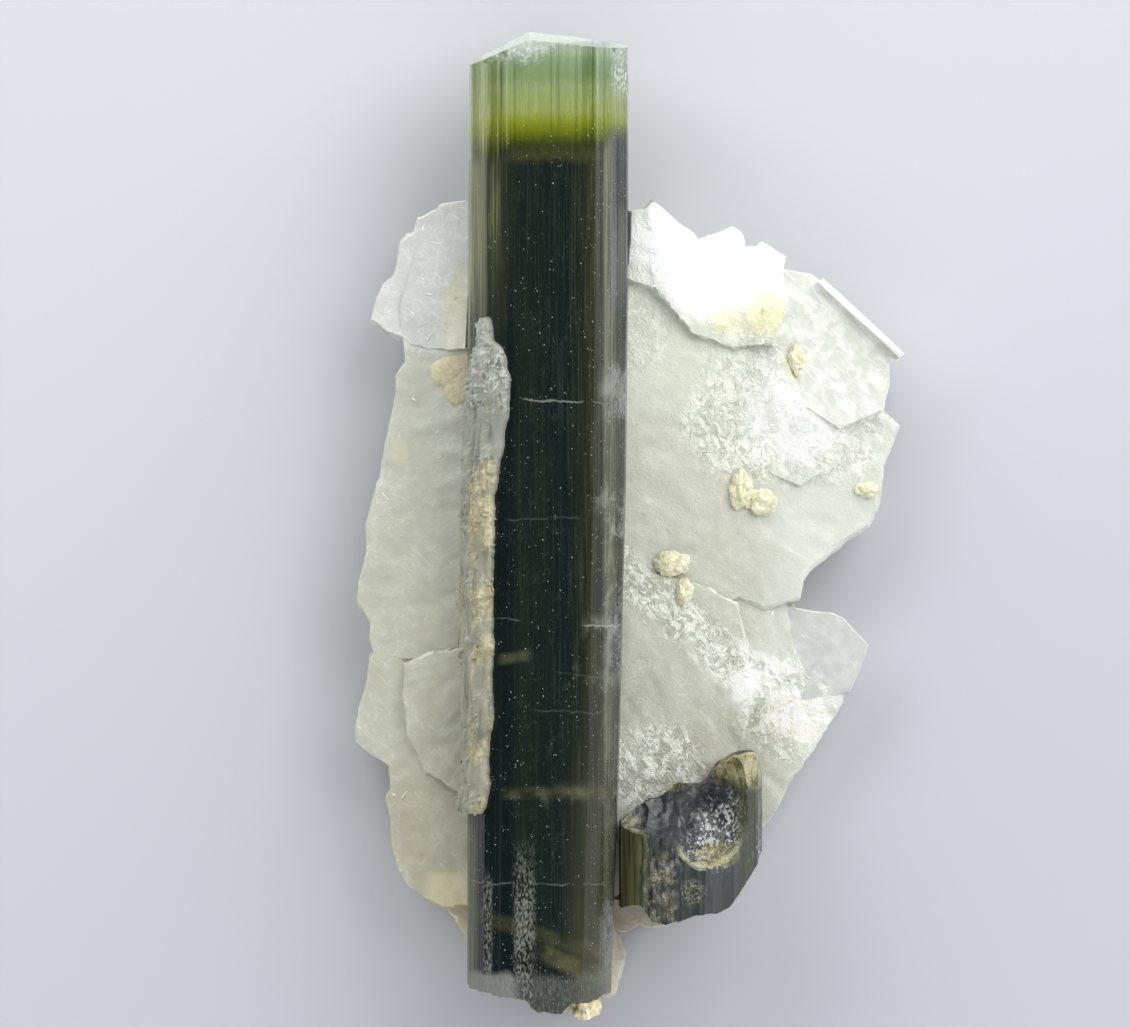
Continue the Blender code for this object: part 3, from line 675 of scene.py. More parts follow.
@dataclass(frozen=True)
class AlbiteFinish:
    """Milky albite plates: grey where thin, white where dense, with painted glare high on the right, painted
    light and shade on crumpled facets and a painted glow on steep walls.
    """

    crown: Color = (0.54, 0.55, 0.52)
    left_high: Color = (0.45, 0.46, 0.385)
    left_low: Color = (0.43, 0.435, 0.345)
    beige: Color = (0.39, 0.37, 0.27)
    tan: Color = (0.56, 0.52, 0.33)
    right_high: Color = (0.515, 0.53, 0.44)
    right_low: Color = (0.405, 0.41, 0.335)
    crest: Color = (0.60, 0.62, 0.515)
    far: Color = (0.56, 0.58, 0.51)
    warm: Color = (0.66, 0.58, 0.46)
    # also the colour of the painted glare high on the right
    white: Color = (0.97, 0.97, 0.955)
    # edge: threads, painted facet highlights and the painted glow of steep walls
    edge: Color = (0.84, 0.86, 0.76)
    crack: Color = (0.72, 0.73, 0.72)
    crumb: Color = (0.62, 0.56, 0.45)
    yellow: Color = (0.86, 0.80, 0.34)
    warm_patch: Patch = Patch((10.6, -11.9), (0.25, 0.4), (3.0, 1.0), 0.5)
    crumpled: tuple[Patch, ...] = (
        Patch((7.2, 6.4), (0.5, 0.5), (9.0, 3.0)),
        Patch((12.0, 7.0), (0.4, 0.4), (11.0, 4.0)),
        Patch((8.4, 10.6), (0.4, 0.5), (8.0, 2.0), 0.85),
        Patch((0.6, 14.6), (0.4, 0.12), (4.5, 1.5), 0.55, sway=0.5),
        Patch((1.6, -15.2), (0.3, 0.3), (4.0, 1.5), sway=0.6),
        Patch((10.4, -11.4), (0.3, 0.4), (5.0, 2.0), 0.8, sway=0.6),
    )
    # painted glare: where strong light washes the plates out high on the right
    glare_lobe: Patch = Patch((5.8, 17.0), (0.55, 1.2), (30.0, 9.0))
    glare_patch: Patch = Patch((10.5, 7.0), (1.0, 1.0), (15.0, 3.0), sway=1.8)
    low_white: Patch = Patch((9.2, -6.6), (0.35, 1.0), (10.0, 1.0), sway=0.6)
    stains: tuple[Patch, ...] = (
        Patch((8.6, 13.3), (1.0, 0.7), (2.6, 0.4), 0.55),
        Patch((10.6, 10.2), (1.0, 0.4), (1.2, 0.2), 0.5),
        Patch((6.4, 12.6), (0.5, 1.0), (1.2, 0.2), 0.4),
        Patch((-10.3, 13.0), (0.5, 0.12), (1.4, 0.3), 0.22),
        Patch((-14.2, 4.6), (1.0, 0.5), (0.4, 0.05), 0.15),
    )
    scatter: Triple = (0.0020, 0.0018, 0.0015)

    def build(self) -> Material:
        """Build the material.

        Returns:
            The material.
        """
        tree = ShaderTree("milky_albite")
        x, y, z = tree.place()
        spot = tree.vector(x, y, z)
        mottle = tree.noise(spot, 0.55, 4.0, 0.6)
        grain = tree.noise(spot, 4.2, 3.0)
        bent = tree.vector(x * 1.15 + mottle * 2.6, y * 0.85 - mottle * 2.0 + grain * 0.5, z)
        net = tree.cracks(bent, 1.15, 0.075)
        # painted light and shade: each crumpled facet gets its own brightness, as if tilted towards or away
        # from the lamps
        painted_facet_shade = tree.patchwork(bent, 2.4) * 0.7 + grain * 0.3
        cluster = self._cluster(x, y, mottle)
        stained = strongest(stain.mask(x, y, (mottle - 0.5) * 1.6) for stain in self.stains)
        wisps = self._wisps(tree, x, y) * (0.25 + cluster * 0.75) * mottle.ramp(0.42, 0.56)
        wisps = wisps.most(net * cluster * (grain + mottle * 0.5).ramp(0.62, 0.86))
        crack = net * mottle.ramp(0.38, 0.55) * x.ramp(-9.8, -11.0) * y.ramp(9.5, 11.5)
        # tone: painted facet shading where crumpled, plus random mottle
        tone = (painted_facet_shade - 0.45) * (0.06 + cluster * 1.1) + (mottle - 0.5) * 0.5 + 0.12
        painted_wall_glow = tree.coordinates("Normal")[2].ramp(0.93, 0.45)
        plain = self._plain(tree, x, y, tree.noise(spot, 0.16, 2.0))
        color = tree.paint(
            plain,
            (tone, tree.mix(0.75, plain, self.edge)),
            # painted highlights on the brightest crumpled facets
            (painted_facet_shade.ramp(0.55, 0.80) * cluster * 0.55, self.edge),
            # painted glare high on the right, with the white strip and low patch
            (self._white_and_glare(x, y, mottle), self.white),
            (stained, self.yellow),
            (wisps * 0.8, self.edge),
            (crack * 0.5, self.crack),
            # painted light: steep walls painted lighter, an edge glow that also lifts their shade
            (painted_wall_glow * (0.12 + x.ramp(-3.0, 3.0) * 0.22), self.edge),
            (y.ramp(-22.4, -23.0) * x.ramp(-1.6, -0.8) * 0.8, self.crumb),
        )
        crease = abs(tree.noise(spot, 1.45, 3.0, 1.7) - 0.5)
        return tree.finish(tree.principled(
            Base_Color=color,
            Roughness=0.36 + grain * 0.35,
            IOR=1.53,
            Subsurface_Weight=0.15,
            Subsurface_Radius=Vector(self.scatter),
            Subsurface_Scale=1.0,
            Normal=tree.bump(crease * 1.6 + grain * 0.2, 0.22, 0.24 + cluster * 0.56),
        ))

    def _plain(self, tree: ShaderTree, x: Signal, y: Signal, slow: Signal) -> Socket:
        """Return the plates' colour before threads, stains and dense places.

        Args:
            tree: The material.
            x: The place across.
            y: The place along.
            slow: Very slow noise.

        Returns:
            The colour.
        """
        left = tree.paint(
            self.left_low,
            ((y + slow * 8.0).ramp(-4.0, 12.0), self.left_high),
            (y.ramp(10.3, 11.4), self.crown),
            ((y - x * 0.2 + slow * 4.0).ramp(-8.0, -13.0), self.beige),
            (x.ramp(-9.0, -9.6) * y.ramp(-21.2, -21.8) * x.ramp(-13.0, -12.0), self.tan),
        )
        right = tree.paint(
            self.right_low,
            ((y + slow * 8.0).ramp(-8.0, 14.0), self.right_high),
            ((y + slow * 4.0).ramp(8.0, 12.0) * x.ramp(7.0, 5.0), self.crest),
            ((x + (y - 4.0) * 0.12 + slow * 4.0).ramp(7.5, 13.0), self.far),
            (self.warm_patch.mask(x, y, slow * 2.0), self.warm),
        )
        return tree.mix(x.ramp(-6.0, -3.0), left, right)

    @staticmethod
    def _wisps(tree: ShaderTree, x: Signal, y: Signal) -> Signal:
        """Return thin bright threads of cleavage that cross each other.

        Args:
            tree: The material.
            x: The place across.
            y: The place along.

        Returns:
            The share of threads.
        """
        falling = tree.vector((x + y) * 1.25, (y - x) * 0.30, 1.7)
        rising = tree.vector((x - y) * 1.05, (y + x) * 0.34, 6.3)
        first = tree.noise(falling, 0.8, 3.0, 0.9).band(0.5, 0.003, 0.018)
        second = tree.noise(rising, 0.8, 3.0, 0.9).band(0.5, 0.003, 0.016)
        return first.most(second * 0.8)

    def _cluster(self, x: Signal, y: Signal, mottle: Signal) -> Signal:
        """Return where the plates are crumpled and full of bright threads.

        Args:
            x: The place across.
            y: The place along.
            mottle: Blotchy noise.

        Returns:
            The share of crumpling.
        """
        sway = (mottle - 0.5) * 10.0
        slant = (y + 4.4) + (x - 1.55) * 0.8
        falls = (slant * slant * 0.6 + sway).ramp(3.2, 0.6) * x.ramp(12.5, 11.0)
        return strongest((falls, *(patch.mask(x, y, sway) for patch in self.crumpled))) * x.ramp(-3.0, -1.0)

    def _white_and_glare(self, x: Signal, y: Signal, mottle: Signal) -> Signal:
        """Return the white places: painted glare in the lobes high on the right and beside the prism, where
        strong light washes the plates out, and the dense white strip along the far edge and patch low on the
        right.

        Args:
            x: The place across.
            y: The place along.
            mottle: Blotchy noise.

        Returns:
            The share of white.
        """
        sway = (mottle - 0.5) * 9.0
        # painted glare: the lobe, the patch and the place beside the prism are painted white as if washed out
        # by strong light
        glare_lobe = self.glare_lobe.mask(x, y, sway) * (x + (y - 14.5) * 0.7 + (mottle - 0.5) * 4.0).ramp(0.0, 3.0)
        low = self.low_white.mask(x, y + x * 0.4, sway)
        near = x.ramp(1.6, 0.2) * x.ramp(-2.0, -1.0) * y.ramp(14.0, 17.0)
        strip = ((x - 11.75) * 0.636 + (y - 15.25) * 0.772).band(0.05, 0.22, 0.08) * x.ramp(11.2, 11.8)
        return strongest((
            glare_lobe,
            strip,
            self.glare_patch.mask(x, y, sway) * (0.30 + mottle.ramp(0.40, 0.60) * 0.40),
            low * mottle.ramp(0.38, 0.6) * 0.65,
            near * 0.5,
        ))


@dataclass(frozen=True)
class FlakeFinish:
    """Clear thin cleavage flakes."""

    name: str
    shade: Color
    pale: Color
    milkiness: float
    threads: float = 0.8
    color: Color = (0.985, 0.985, 0.98)
    bright: Color = (0.95, 0.96, 0.93)
    roughness: float = 0.25

    def build(self) -> Material:
        """Build the material.

        Returns:
            The material.
        """
        tree = ShaderTree(self.name)
        x, y, z = tree.place()
        mottle = tree.noise(tree.vector(x, y, z), 1.4, 5.0, 0.8)
        falling = tree.vector((x + y) * 1.3, (y - x) * 0.3, 3.0)
        thread = tree.noise(falling, 1.0, 3.0, 0.9).band(0.5, 0.003, 0.02)
        thread = (thread * self.threads).most(thread * mottle.ramp(0.54, 0.62) * 0.5)
        edge = tree.coordinates("Normal")[2].ramp(0.95, 0.5)
        tone = tree.mix(mottle.ramp(0.40, 0.62), self.shade, self.pale)
        milk = tree.principled(Base_Color=tree.mix(thread.most(edge), tone, self.bright), Roughness=0.5)
        glass = tree.principled(
            Base_Color=self.color,
            Roughness=self.roughness + mottle * 0.2,
            IOR=1.53,
            Transmission_Weight=1.0,
            Normal=tree.bump(mottle, 0.04, 0.4),
        )
        cloud = self.milkiness + mottle.ramp(0.42, 0.66) * 0.08
        return tree.finish(tree.blend(strongest((cloud, thread * 0.8, edge * 0.6)), glass, milk))


@dataclass(frozen=True)
class GritFinish:
    """Small scattered things in two shades, with how the shades shift and how rough they are."""

    name: str
    color: Color
    dull: Color
    scale: float
    detail: float
    shift: Point
    roughness: Point
    ior: float = 1.5

    def build(self) -> Material:
        """Build the material.

        Returns:
            The material.
        """
        tree = ShaderTree(self.name)
        tone = tree.noise(tree.vector(*tree.place()), self.scale, self.detail)
        color = tree.mix(tone.ramp(*self.shift), self.color, self.dull)
        roughness = self.roughness[0] + tone * self.roughness[1]
        return tree.finish(tree.principled(Base_Color=color, Roughness=roughness, IOR=self.ior))


@dataclass(frozen=True)
class CrustFinish:
    """Milky glassy crust, rough high up where painted glints are strewn over it, with beige lumps lower down.
    """

    high: Color = (0.42, 0.44, 0.37)
    low: Color = (0.43, 0.43, 0.32)
    # bright: the colour of the painted glints
    bright: Color = (0.84, 0.86, 0.80)
    dark: Color = (0.10, 0.11, 0.075)
    beige: Color = (0.29, 0.26, 0.145)
    cream: Color = (0.50, 0.47, 0.31)
    lumps: tuple[Point, ...] = ((3.2, 1.1), (0.4, 2.4), (-4.4, 1.5), (-7.6, 1.1), (-12.8, 1.4), (-17.0, 0.9))

    def build(self) -> Material:
        """Build the material.

        Returns:
            The material.
        """
        tree = ShaderTree("milky_crust")
        x, y, z = tree.place()
        mottle = tree.noise(tree.vector(x, y * 0.45, z), 1.1, 3.0, 0.5)
        drawn = tree.noise(tree.vector(x, y * 0.12, z), 3.0, 3.0, 0.3)
        grain = tree.noise(tree.vector(x, y, z), 4.5, 3.0)
        station = y + (mottle - 0.5) * 2.4 - (x + 8.6) * 0.5
        clay = strongest(station.band(middle, half * 0.5, half * 0.5) for middle, half in self.lumps)
        upper = (y + (mottle - 0.5) * 3.0).ramp(6.4, 8.2)
        # painted glints: bright sparkles painted into the colour, strongest high up
        painted_glint = (grain * 0.6 + mottle * 0.4).ramp(0.46, 0.62)
        color = tree.paint(
            self.low,
            ((y + (mottle - 0.5) * 6.0).ramp(-1.0, 6.0), self.high),
            (drawn.ramp(0.56, 0.68) * 0.5, self.cream),
            (drawn.ramp(0.44, 0.34) * 0.5, self.dark),
            (painted_glint * (0.08 + upper * 0.42), self.bright),
        )
        relief = tree.bump(mottle * 0.3 + drawn * 0.35 + grain * upper.most(clay) * 0.35, 0.07, 0.5)
        glassy = tree.principled(
            Base_Color=color,
            Roughness=0.24 + grain * 0.2,
            IOR=1.53,
            Transmission_Weight=0.40,
            Normal=relief,
        )
        tone = tree.mix((mottle * 0.6 + grain * 0.4).ramp(0.44, 0.62), self.beige, self.cream)
        earthy = tree.principled(Base_Color=tone, Roughness=0.85, Normal=relief)
        inside = x.ramp(-10.0, -9.4) * x.ramp(-7.9, -8.3)
        return tree.finish(tree.blend(clay * inside * mottle.ramp(0.38, 0.46) * 0.9, glassy, earthy))


@dataclass(frozen=True)
class ClayFinish:
    """Dull tan clay, browner on the left."""

    name: str = "tan_clay"
    color: Color = (0.62, 0.59, 0.38)
    pale: Color = (0.83, 0.81, 0.62)
    left: Color = (0.48, 0.43, 0.27)

    def build(self) -> Material:
        """Build the material.

        Returns:
            The material.
        """
        tree = ShaderTree(self.name)
        x, y, z = tree.place()
        crumb = tree.noise(tree.vector(x, y, z), 3.2, 6.0, 0.5)
        color = tree.paint(
            self.color, (crumb.ramp(0.38, 0.66), self.pale), (x.ramp(-6.0, -8.0) * 0.65, self.left)
        )
        relief = tree.bump(crumb, 0.12, 0.6)
        return tree.finish(tree.principled(Base_Color=color, Roughness=0.8 + crumb * 0.1, Normal=relief))


@dataclass(frozen=True)
class FloorFinish:
    """Plain pale floor, with painted light: a little paler towards one end."""

    near: Color = (0.475, 0.483, 0.512)
    far: Color = (0.545, 0.558, 0.578)

    def build(self) -> Material:
        """Build the material.

        Returns:
            The material.
        """
        tree = ShaderTree("pale_floor")
        x, y, _ = tree.place()
        # painted light: the floor is painted paler towards one end, as if lit more there
        color = tree.mix((y - x * 0.30).ramp(-34.0, 40.0) * 0.9 + 0.05, self.near, self.far)
        return tree.finish(tree.principled(Base_Color=color, Roughness=0.85))


# ------------------------------------------------------------- shapes in code


def along(table: Table, value: float) -> float:
    """Read a table of places and values.

    Args:
        table: Pairs of place and value.
        value: The place to read it at.

    Returns:
        The value there, straight between the table's rows.
    """
    rows = sorted(table)
    if value <= rows[0][0]:
        return rows[0][1]
    for (start, low), (end, high) in zip(rows, rows[1:]):
        if value <= end:
            return low + (high - low) * (value - start) / (end - start)
    return rows[-1][1]


def hum(x: float, y: float, z: float) -> float:
    """Return soft noise between -1 and 1."""
    return noise.noise(Vector((x, y, z)))


def rough(place: Vector, pitch: float, seed: float) -> float:
    """Return noise with finer noise on it, for broken surfaces."""
    spot = place / pitch + Vector((seed, seed * 0.7, 0.0))
    return noise.noise(spot) + 0.5 * noise.noise(spot * 2.3) + 0.28 * noise.noise(spot * 5.1)


def centre(points: Sequence[Vector]) -> Vector:
    """Return the middle of some points."""
    return sum(points[1:], points[0].copy()) / len(points)


@dataclass(frozen=True)
class WallPoint:
    """One point of a section: its place, the way out and the distance walked to it."""

    spot: Vector
    outward: Vector
    walked: float


def walk(corners: Sequence[Point], pitch: float) -> list[WallPoint]:
    """Walk round a closed section in short steps.

    Args:
        corners: The section's corners.
        pitch: About how long a step is.

    Returns:
        The points passed, every corner among them.
    """
    spots = [Vector(corner) for corner in corners]
    middle = centre(spots)
    points: list[WallPoint] = []
    walked = 0.0
    for start, end in zip(spots, [*spots[1:], spots[0]]):
        side = end - start
        outward = Vector((side.y, -side.x)).normalized()
        if outward.dot(start - middle) < 0.0:
            outward = -outward
        count = max(1, round(side.length / pitch))
        for step in range(count):
            far = walked + side.length * step / count
            points.append(WallPoint(start + side * step / count, outward, far))
        walked += side.length
    return points


def weave(bm: Mesh, rings: Sequence[Sequence[Vector]]) -> list[list[bmesh.types.BMVert]]:
    """Join a row of rings with four-sided faces.

    Args:
        bm: The mesh to build in.
        rings: Rings with the same number of points.

    Returns:
        Each ring's corners.
    """
    rows = [[bm.verts.new(point) for point in ring] for ring in rings]
    for low, high in zip(rows, rows[1:]):
        for index in range(len(low)):
            after = (index + 1) % len(low)
            bm.faces.new((low[index], low[after], high[after], high[index]))
    return rows


def skin(
    rings: Sequence[Sequence[Vector]], wall: Sequence[WallPoint] = (), shares: Sequence[float] = ()
) -> Mesh:
    """Skin a row of rings and close both ends with fans.

    Args:
        rings: Rings with the same number of points.
        wall: The section they follow, to mark each point for its ribs.
        shares: How far ribs may push each ring.

    Returns:
        The closed mesh.
    """
    bm = bmesh.new()
    if wall:
        around = bm.verts.layers.float.new("around")
        length = bm.verts.layers.float.new("length")
        outward = bm.verts.layers.float_vector.new("outward")
    rows = weave(bm, rings)
    for row, share in zip(rows, shares):
        for vert, place in zip(row, wall):
            vert[around], vert[length] = place.walked, vert.co.y
            vert[outward] = Vector((place.outward.x, 0.0, place.outward.y)) * share
    for row in (rows[0], rows[-1]):
        hub = bm.verts.new(centre([vert.co for vert in row]))
        for index in range(len(row)):
            bm.faces.new((row[index], row[(index + 1) % len(row)], hub))
    return bm


def settle(name: str, bm: Mesh, material: Material | None = None) -> Object:
    """Turn millimetres into metres, face a mesh outwards and link it as an object.

    Args:
        name: The object's name.
        bm: The mesh.
        material: Its material.

    Returns:
        The object.
    """
    bmesh.ops.recalc_face_normals(bm, faces=bm.faces)
    bmesh.ops.scale(bm, vec=(MM, MM, MM), verts=bm.verts)
    mesh = bpy.data.meshes.new(name)
    bm.to_mesh(mesh)
    bm.free()
    if material:
        mesh.materials.append(material)
    return link(name, mesh)


def link(name: str, data: bpy.types.ID) -> Object:
    """Put an object with the given data into the scene.

    Args:
        name: The object's name.
        data: Its mesh, lamp or camera.

    Returns:
        The object.
    """
    obj = bpy.data.objects.new(name, data)
    bpy.context.scene.collection.objects.link(obj)
    return obj


def bake(obj: Object) -> None:
    """Turn an object's modifiers into its mesh.

    Args:
        obj: The object.
    """
    graph = bpy.context.evaluated_depsgraph_get()
    made = bpy.data.meshes.new_from_object(
        obj.evaluated_get(graph), preserve_all_data_layers=True, depsgraph=graph
    )
    obj.modifiers.clear()
    plain = obj.data
    obj.data = made
    bpy.data.meshes.remove(plain)
    made.name = obj.name


def combine(obj: Object, others: Sequence[Object], operation: str) -> None:
    """Join solids to an object or cut them out of it, and remove them.

    Args:
        obj: The object to change.
        others: The solids.
        operation: UNION or DIFFERENCE.
    """
    for other in others:
        modifier = obj.modifiers.new(other.name, "BOOLEAN")
        modifier.operation = operation
        modifier.solver = "MANIFOLD"
        modifier.object = other
    bake(obj)
    for other in others:
        bpy.data.objects.remove(other, do_unlink=True)


def gloss(obj: Object, sharp: float) -> None:
    """Shade an object smooth up to a sharp angle in degrees."""
    obj.data.shade_smooth()
    obj.data.set_sharp_from_angle(angle=math.radians(sharp))


def ball(
    middle: Sequence[float], radii: Sequence[float], finer: int, swell: Callable[[Vector], float]
) -> Mesh:
    """Build a ball and push its skin in and out.

    Args:
        middle: Its middle.
        radii: Its radii.
        finer: How finely it is split.
        swell: Gives the size, about 1, for each way out.

    Returns:
        The mesh.
    """
    bm = bmesh.new()
    bmesh.ops.create_icosphere(bm, subdivisions=finer, radius=1.0)
    for vert in bm.verts:
        way = vert.co.copy()
        size = swell(way)
        vert.co = [middle[axis] + way[axis] * radii[axis] * size for axis in range(3)]
    return bm


@dataclass(frozen=True)
class Lump:
    """A knobbly lump: its middle, its radii and how uneven it is."""

    middle: Triple
    radii: Triple
    knobbly: float = 0.35
    octaves: tuple[Triple, ...] = ((1.0, 1.7, 0.0), (0.4, 4.3, 1.0), (0.2, 11.0, 2.0))

    def build(self, seed: float, finer: int) -> Mesh:
        """Build the lump.

        Args:
            seed: Which lump it is.
            finer: How finely it is split.

        Returns:
            The mesh.
        """

        def swell(way: Vector) -> float:
            """Size the lump one way out.

            Args:
                way: The way.

            Returns:
                The size.
            """
            size = 1.0
            for share, pitch, shift in self.octaves:
                size += share * self.knobbly * noise.noise(way * pitch + Vector((seed, shift, 0.0)))
            return size

        return ball(Vector(self.middle), Vector(self.radii), finer, swell)


def present(obj: Object, stands_for: str | None = None) -> Object:
    """Let a finished piece ride on the specimen.

    Args:
        obj: The piece.
        stands_for: The solid that it replaces.

    Returns:
        The piece.
    """
    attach(obj, "root")
    if stands_for:
        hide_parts(stands_for)
    return obj


# ------------------------------------------------------------ geometry trees


class GrowthTree(NodeTree):
    """A Geometry Nodes tree under construction, with one surface in and one out."""

    def __init__(self, name: str, sizes: dict[str, float]) -> None:
        """Start a tree.

        Args:
            name: The tree's name.
            sizes: Its named sizes, with their values.
        """
        self.group = bpy.data.node_groups.new(name, "GeometryNodeTree")
        self.sizes = sizes
        face = self.group.interface
        face.new_socket("Surface", in_out="INPUT", socket_type="NodeSocketGeometry")
        for label in sizes:
            face.new_socket(label, in_out="INPUT", socket_type="NodeSocketFloat")
        face.new_socket("Grown", in_out="OUTPUT", socket_type="NodeSocketGeometry")
        super().__init__(self.group)
        self.entry = self.node("NodeGroupInput")
        self.exit = self.node("NodeGroupOutput")

    def size(self, label: str) -> Signal:
        """Return one of the tree's named sizes."""
        return Signal(self, self.entry.outputs[label])

    def attribute(self, name: str, kind: str = "FLOAT") -> Signal:
        """Return a named attribute of the surface."""
        return self.signal("GeometryNodeInputNamedAttribute", {"data_type": kind}, {"Name": name})

    def scaled(self, vector: Signal, amount: Signal) -> Socket:
        """Return a vector made longer or shorter."""
        settings = {"operation": "SCALE"}
        return self.node("ShaderNodeVectorMath", settings, {0: vector, "Scale": amount}).outputs[0]

    def random(self, low: Socket, high: Socket, seed: int) -> Socket:
        """Return a random vector for each point, between two others."""
        settings = {"data_type": "FLOAT_VECTOR"}
        return self.node("FunctionNodeRandomValue", settings, {0: low, 1: high, "Seed": seed}).outputs[0]

    def grow(self, obj: Object, geometry: Socket, material: Material) -> None:
        """End the tree in real geometry with a material, run it on an object and keep the result.

        Args:
            obj: The object.
            geometry: What the tree makes.
            material: What it is made of.
        """
        real = self.node("GeometryNodeRealizeInstances", None, {0: geometry}).outputs[0]
        dressed = self.node("GeometryNodeSetMaterial", None, {"Geometry": real, "Material": material})
        self.links.new(dressed.outputs[0], self.exit.inputs[0])
        modifier = obj.modifiers.new(self.group.name, "NODES")
        modifier.node_group = self.group
        for item in self.group.interface.items_tree:
            if item.in_out == "INPUT" and item.name in self.sizes:
                modifier[item.identifier] = self.sizes[item.name]
        bake(obj)


@dataclass(frozen=True)
class Ribs:
    """Lengthwise growth ribs pushed in and out of a prism's sides."""

    depth: float = 0.05
    pitch: float = 0.42
    grain: float = 0.02
    seed: float = 3.0

    def grow(self, obj: Object, material: Material) -> None:
        """Put the ribs on a prism that carries its walked distance, length and outward way.

        Args:
            obj: The prism.
            material: Its material.
        """
        tree = GrowthTree("ribs", {"Depth": self.depth * MM, "Pitch": self.pitch, "Grain": self.grain})
        around = tree.attribute("around") / tree.size("Pitch")
        length = tree.attribute("length") * tree.size("Grain")
        broad = tree.noise(tree.vector(around, length, self.seed), 1.0, 1.0)
        fine = tree.noise(tree.vector(around * 2.7, length * 1.6, self.seed + 9.0), 1.0, 1.0)
        height = abs(broad - 0.5) * 3.2 + (fine - 0.5) * 0.9 - 0.55
        shift = tree.scaled(tree.attribute("outward", "FLOAT_VECTOR"), height * tree.size("Depth"))
        inputs = {"Geometry": tree.entry.outputs[0], "Offset": shift}
        moved = tree.node("GeometryNodeSetPosition", None, inputs)
        tree.grow(obj, moved.outputs[0], material)


class Grit(Enum):
    """The shape of a small scattered thing, with its node and the node's inputs."""

    SPECK = ("GeometryNodeMeshIcoSphere", {"Radius": 1.0, "Subdivisions": 1})
    SHARD = ("GeometryNodeMeshCylinder", {"Vertices": 5, "Radius": 1.0, "Depth": 1.0})


@dataclass(frozen=True)
class Scatter:
    """Small things scattered over a surface, more where its attribute "share" is high."""

    name: str
    shape: Grit
    density: float
    smallest: Triple
    largest: Triple
    tilt: float
    spin: float
    seed: int
    sink: float = 0.0

    def grow(self, surface: Object, material: Material) -> Object:
        """Scatter the things over a copy of a surface.

        Args:
            surface: The surface; it isn't changed.
            material: What the things are made of.

        Returns:
            The scattered things, as one object.
        """
        obj = link(self.name, surface.data.copy())
        sizes = {"Density": self.density / MM**2, "Tilt": math.radians(self.tilt), "Sink": self.sink * MM}
        tree = GrowthTree(self.name, sizes)
        density = tree.size("Density") * tree.attribute("share")
        inputs = {"Mesh": tree.entry.outputs[0], "Density": density, "Seed": self.seed}
        points = tree.node("GeometryNodeDistributePointsOnFaces", None, inputs)
        tilt = tree.size("Tilt")
        low = tree.vector(tilt * -1.0, tilt * -1.0, -self.spin)
        high = tree.vector(tilt, tilt, self.spin)
        turn = points.outputs["Rotation"]
        if self.shape is Grit.SHARD:
            turn = tree.node("FunctionNodeEulerToRotation").outputs[0]
        inputs = {"Rotation": turn, "Rotate By": tree.random(low, high, self.seed + 1)}
        turned = tree.node("FunctionNodeRotateRotation", {"rotation_space": "LOCAL"}, inputs)
        least, most = (tree.vector(*(part * MM for part in size)) for size in (self.smallest, self.largest))
        kind, shape = self.shape.value
        inputs = {
            "Points": points.outputs["Points"],
            "Instance": tree.node(kind, None, shape).outputs[0],
            "Rotation": turned.outputs[0],
            "Scale": tree.random(least, most, self.seed + 2),
        }
        placed = tree.node("GeometryNodeInstanceOnPoints", None, inputs)
        drop = tree.vector(0.0, 0.0, tree.size("Sink") * -1.0)
        inputs = {"Instances": placed.outputs[0], "Translation": drop}
        tree.grow(obj, tree.node("GeometryNodeTranslateInstances", None, inputs).outputs[0], material)
        return obj


def share_by(obj: Object, rule: Callable[[Vector, Vector], float]) -> None:
    """Write how much may be scattered at each point of a mesh.

    Args:
        obj: The object.
        rule: Gives the share from a place in millimetres and the way out there.
    """
    attribute = obj.data.attributes.new("share", "FLOAT", "POINT")
    for index, vert in enumerate(obj.data.vertices):
        attribute.data[index].value = max(0.0, rule(vert.co / MM, vert.normal))


# ------------------------------------------------------------------- crystals


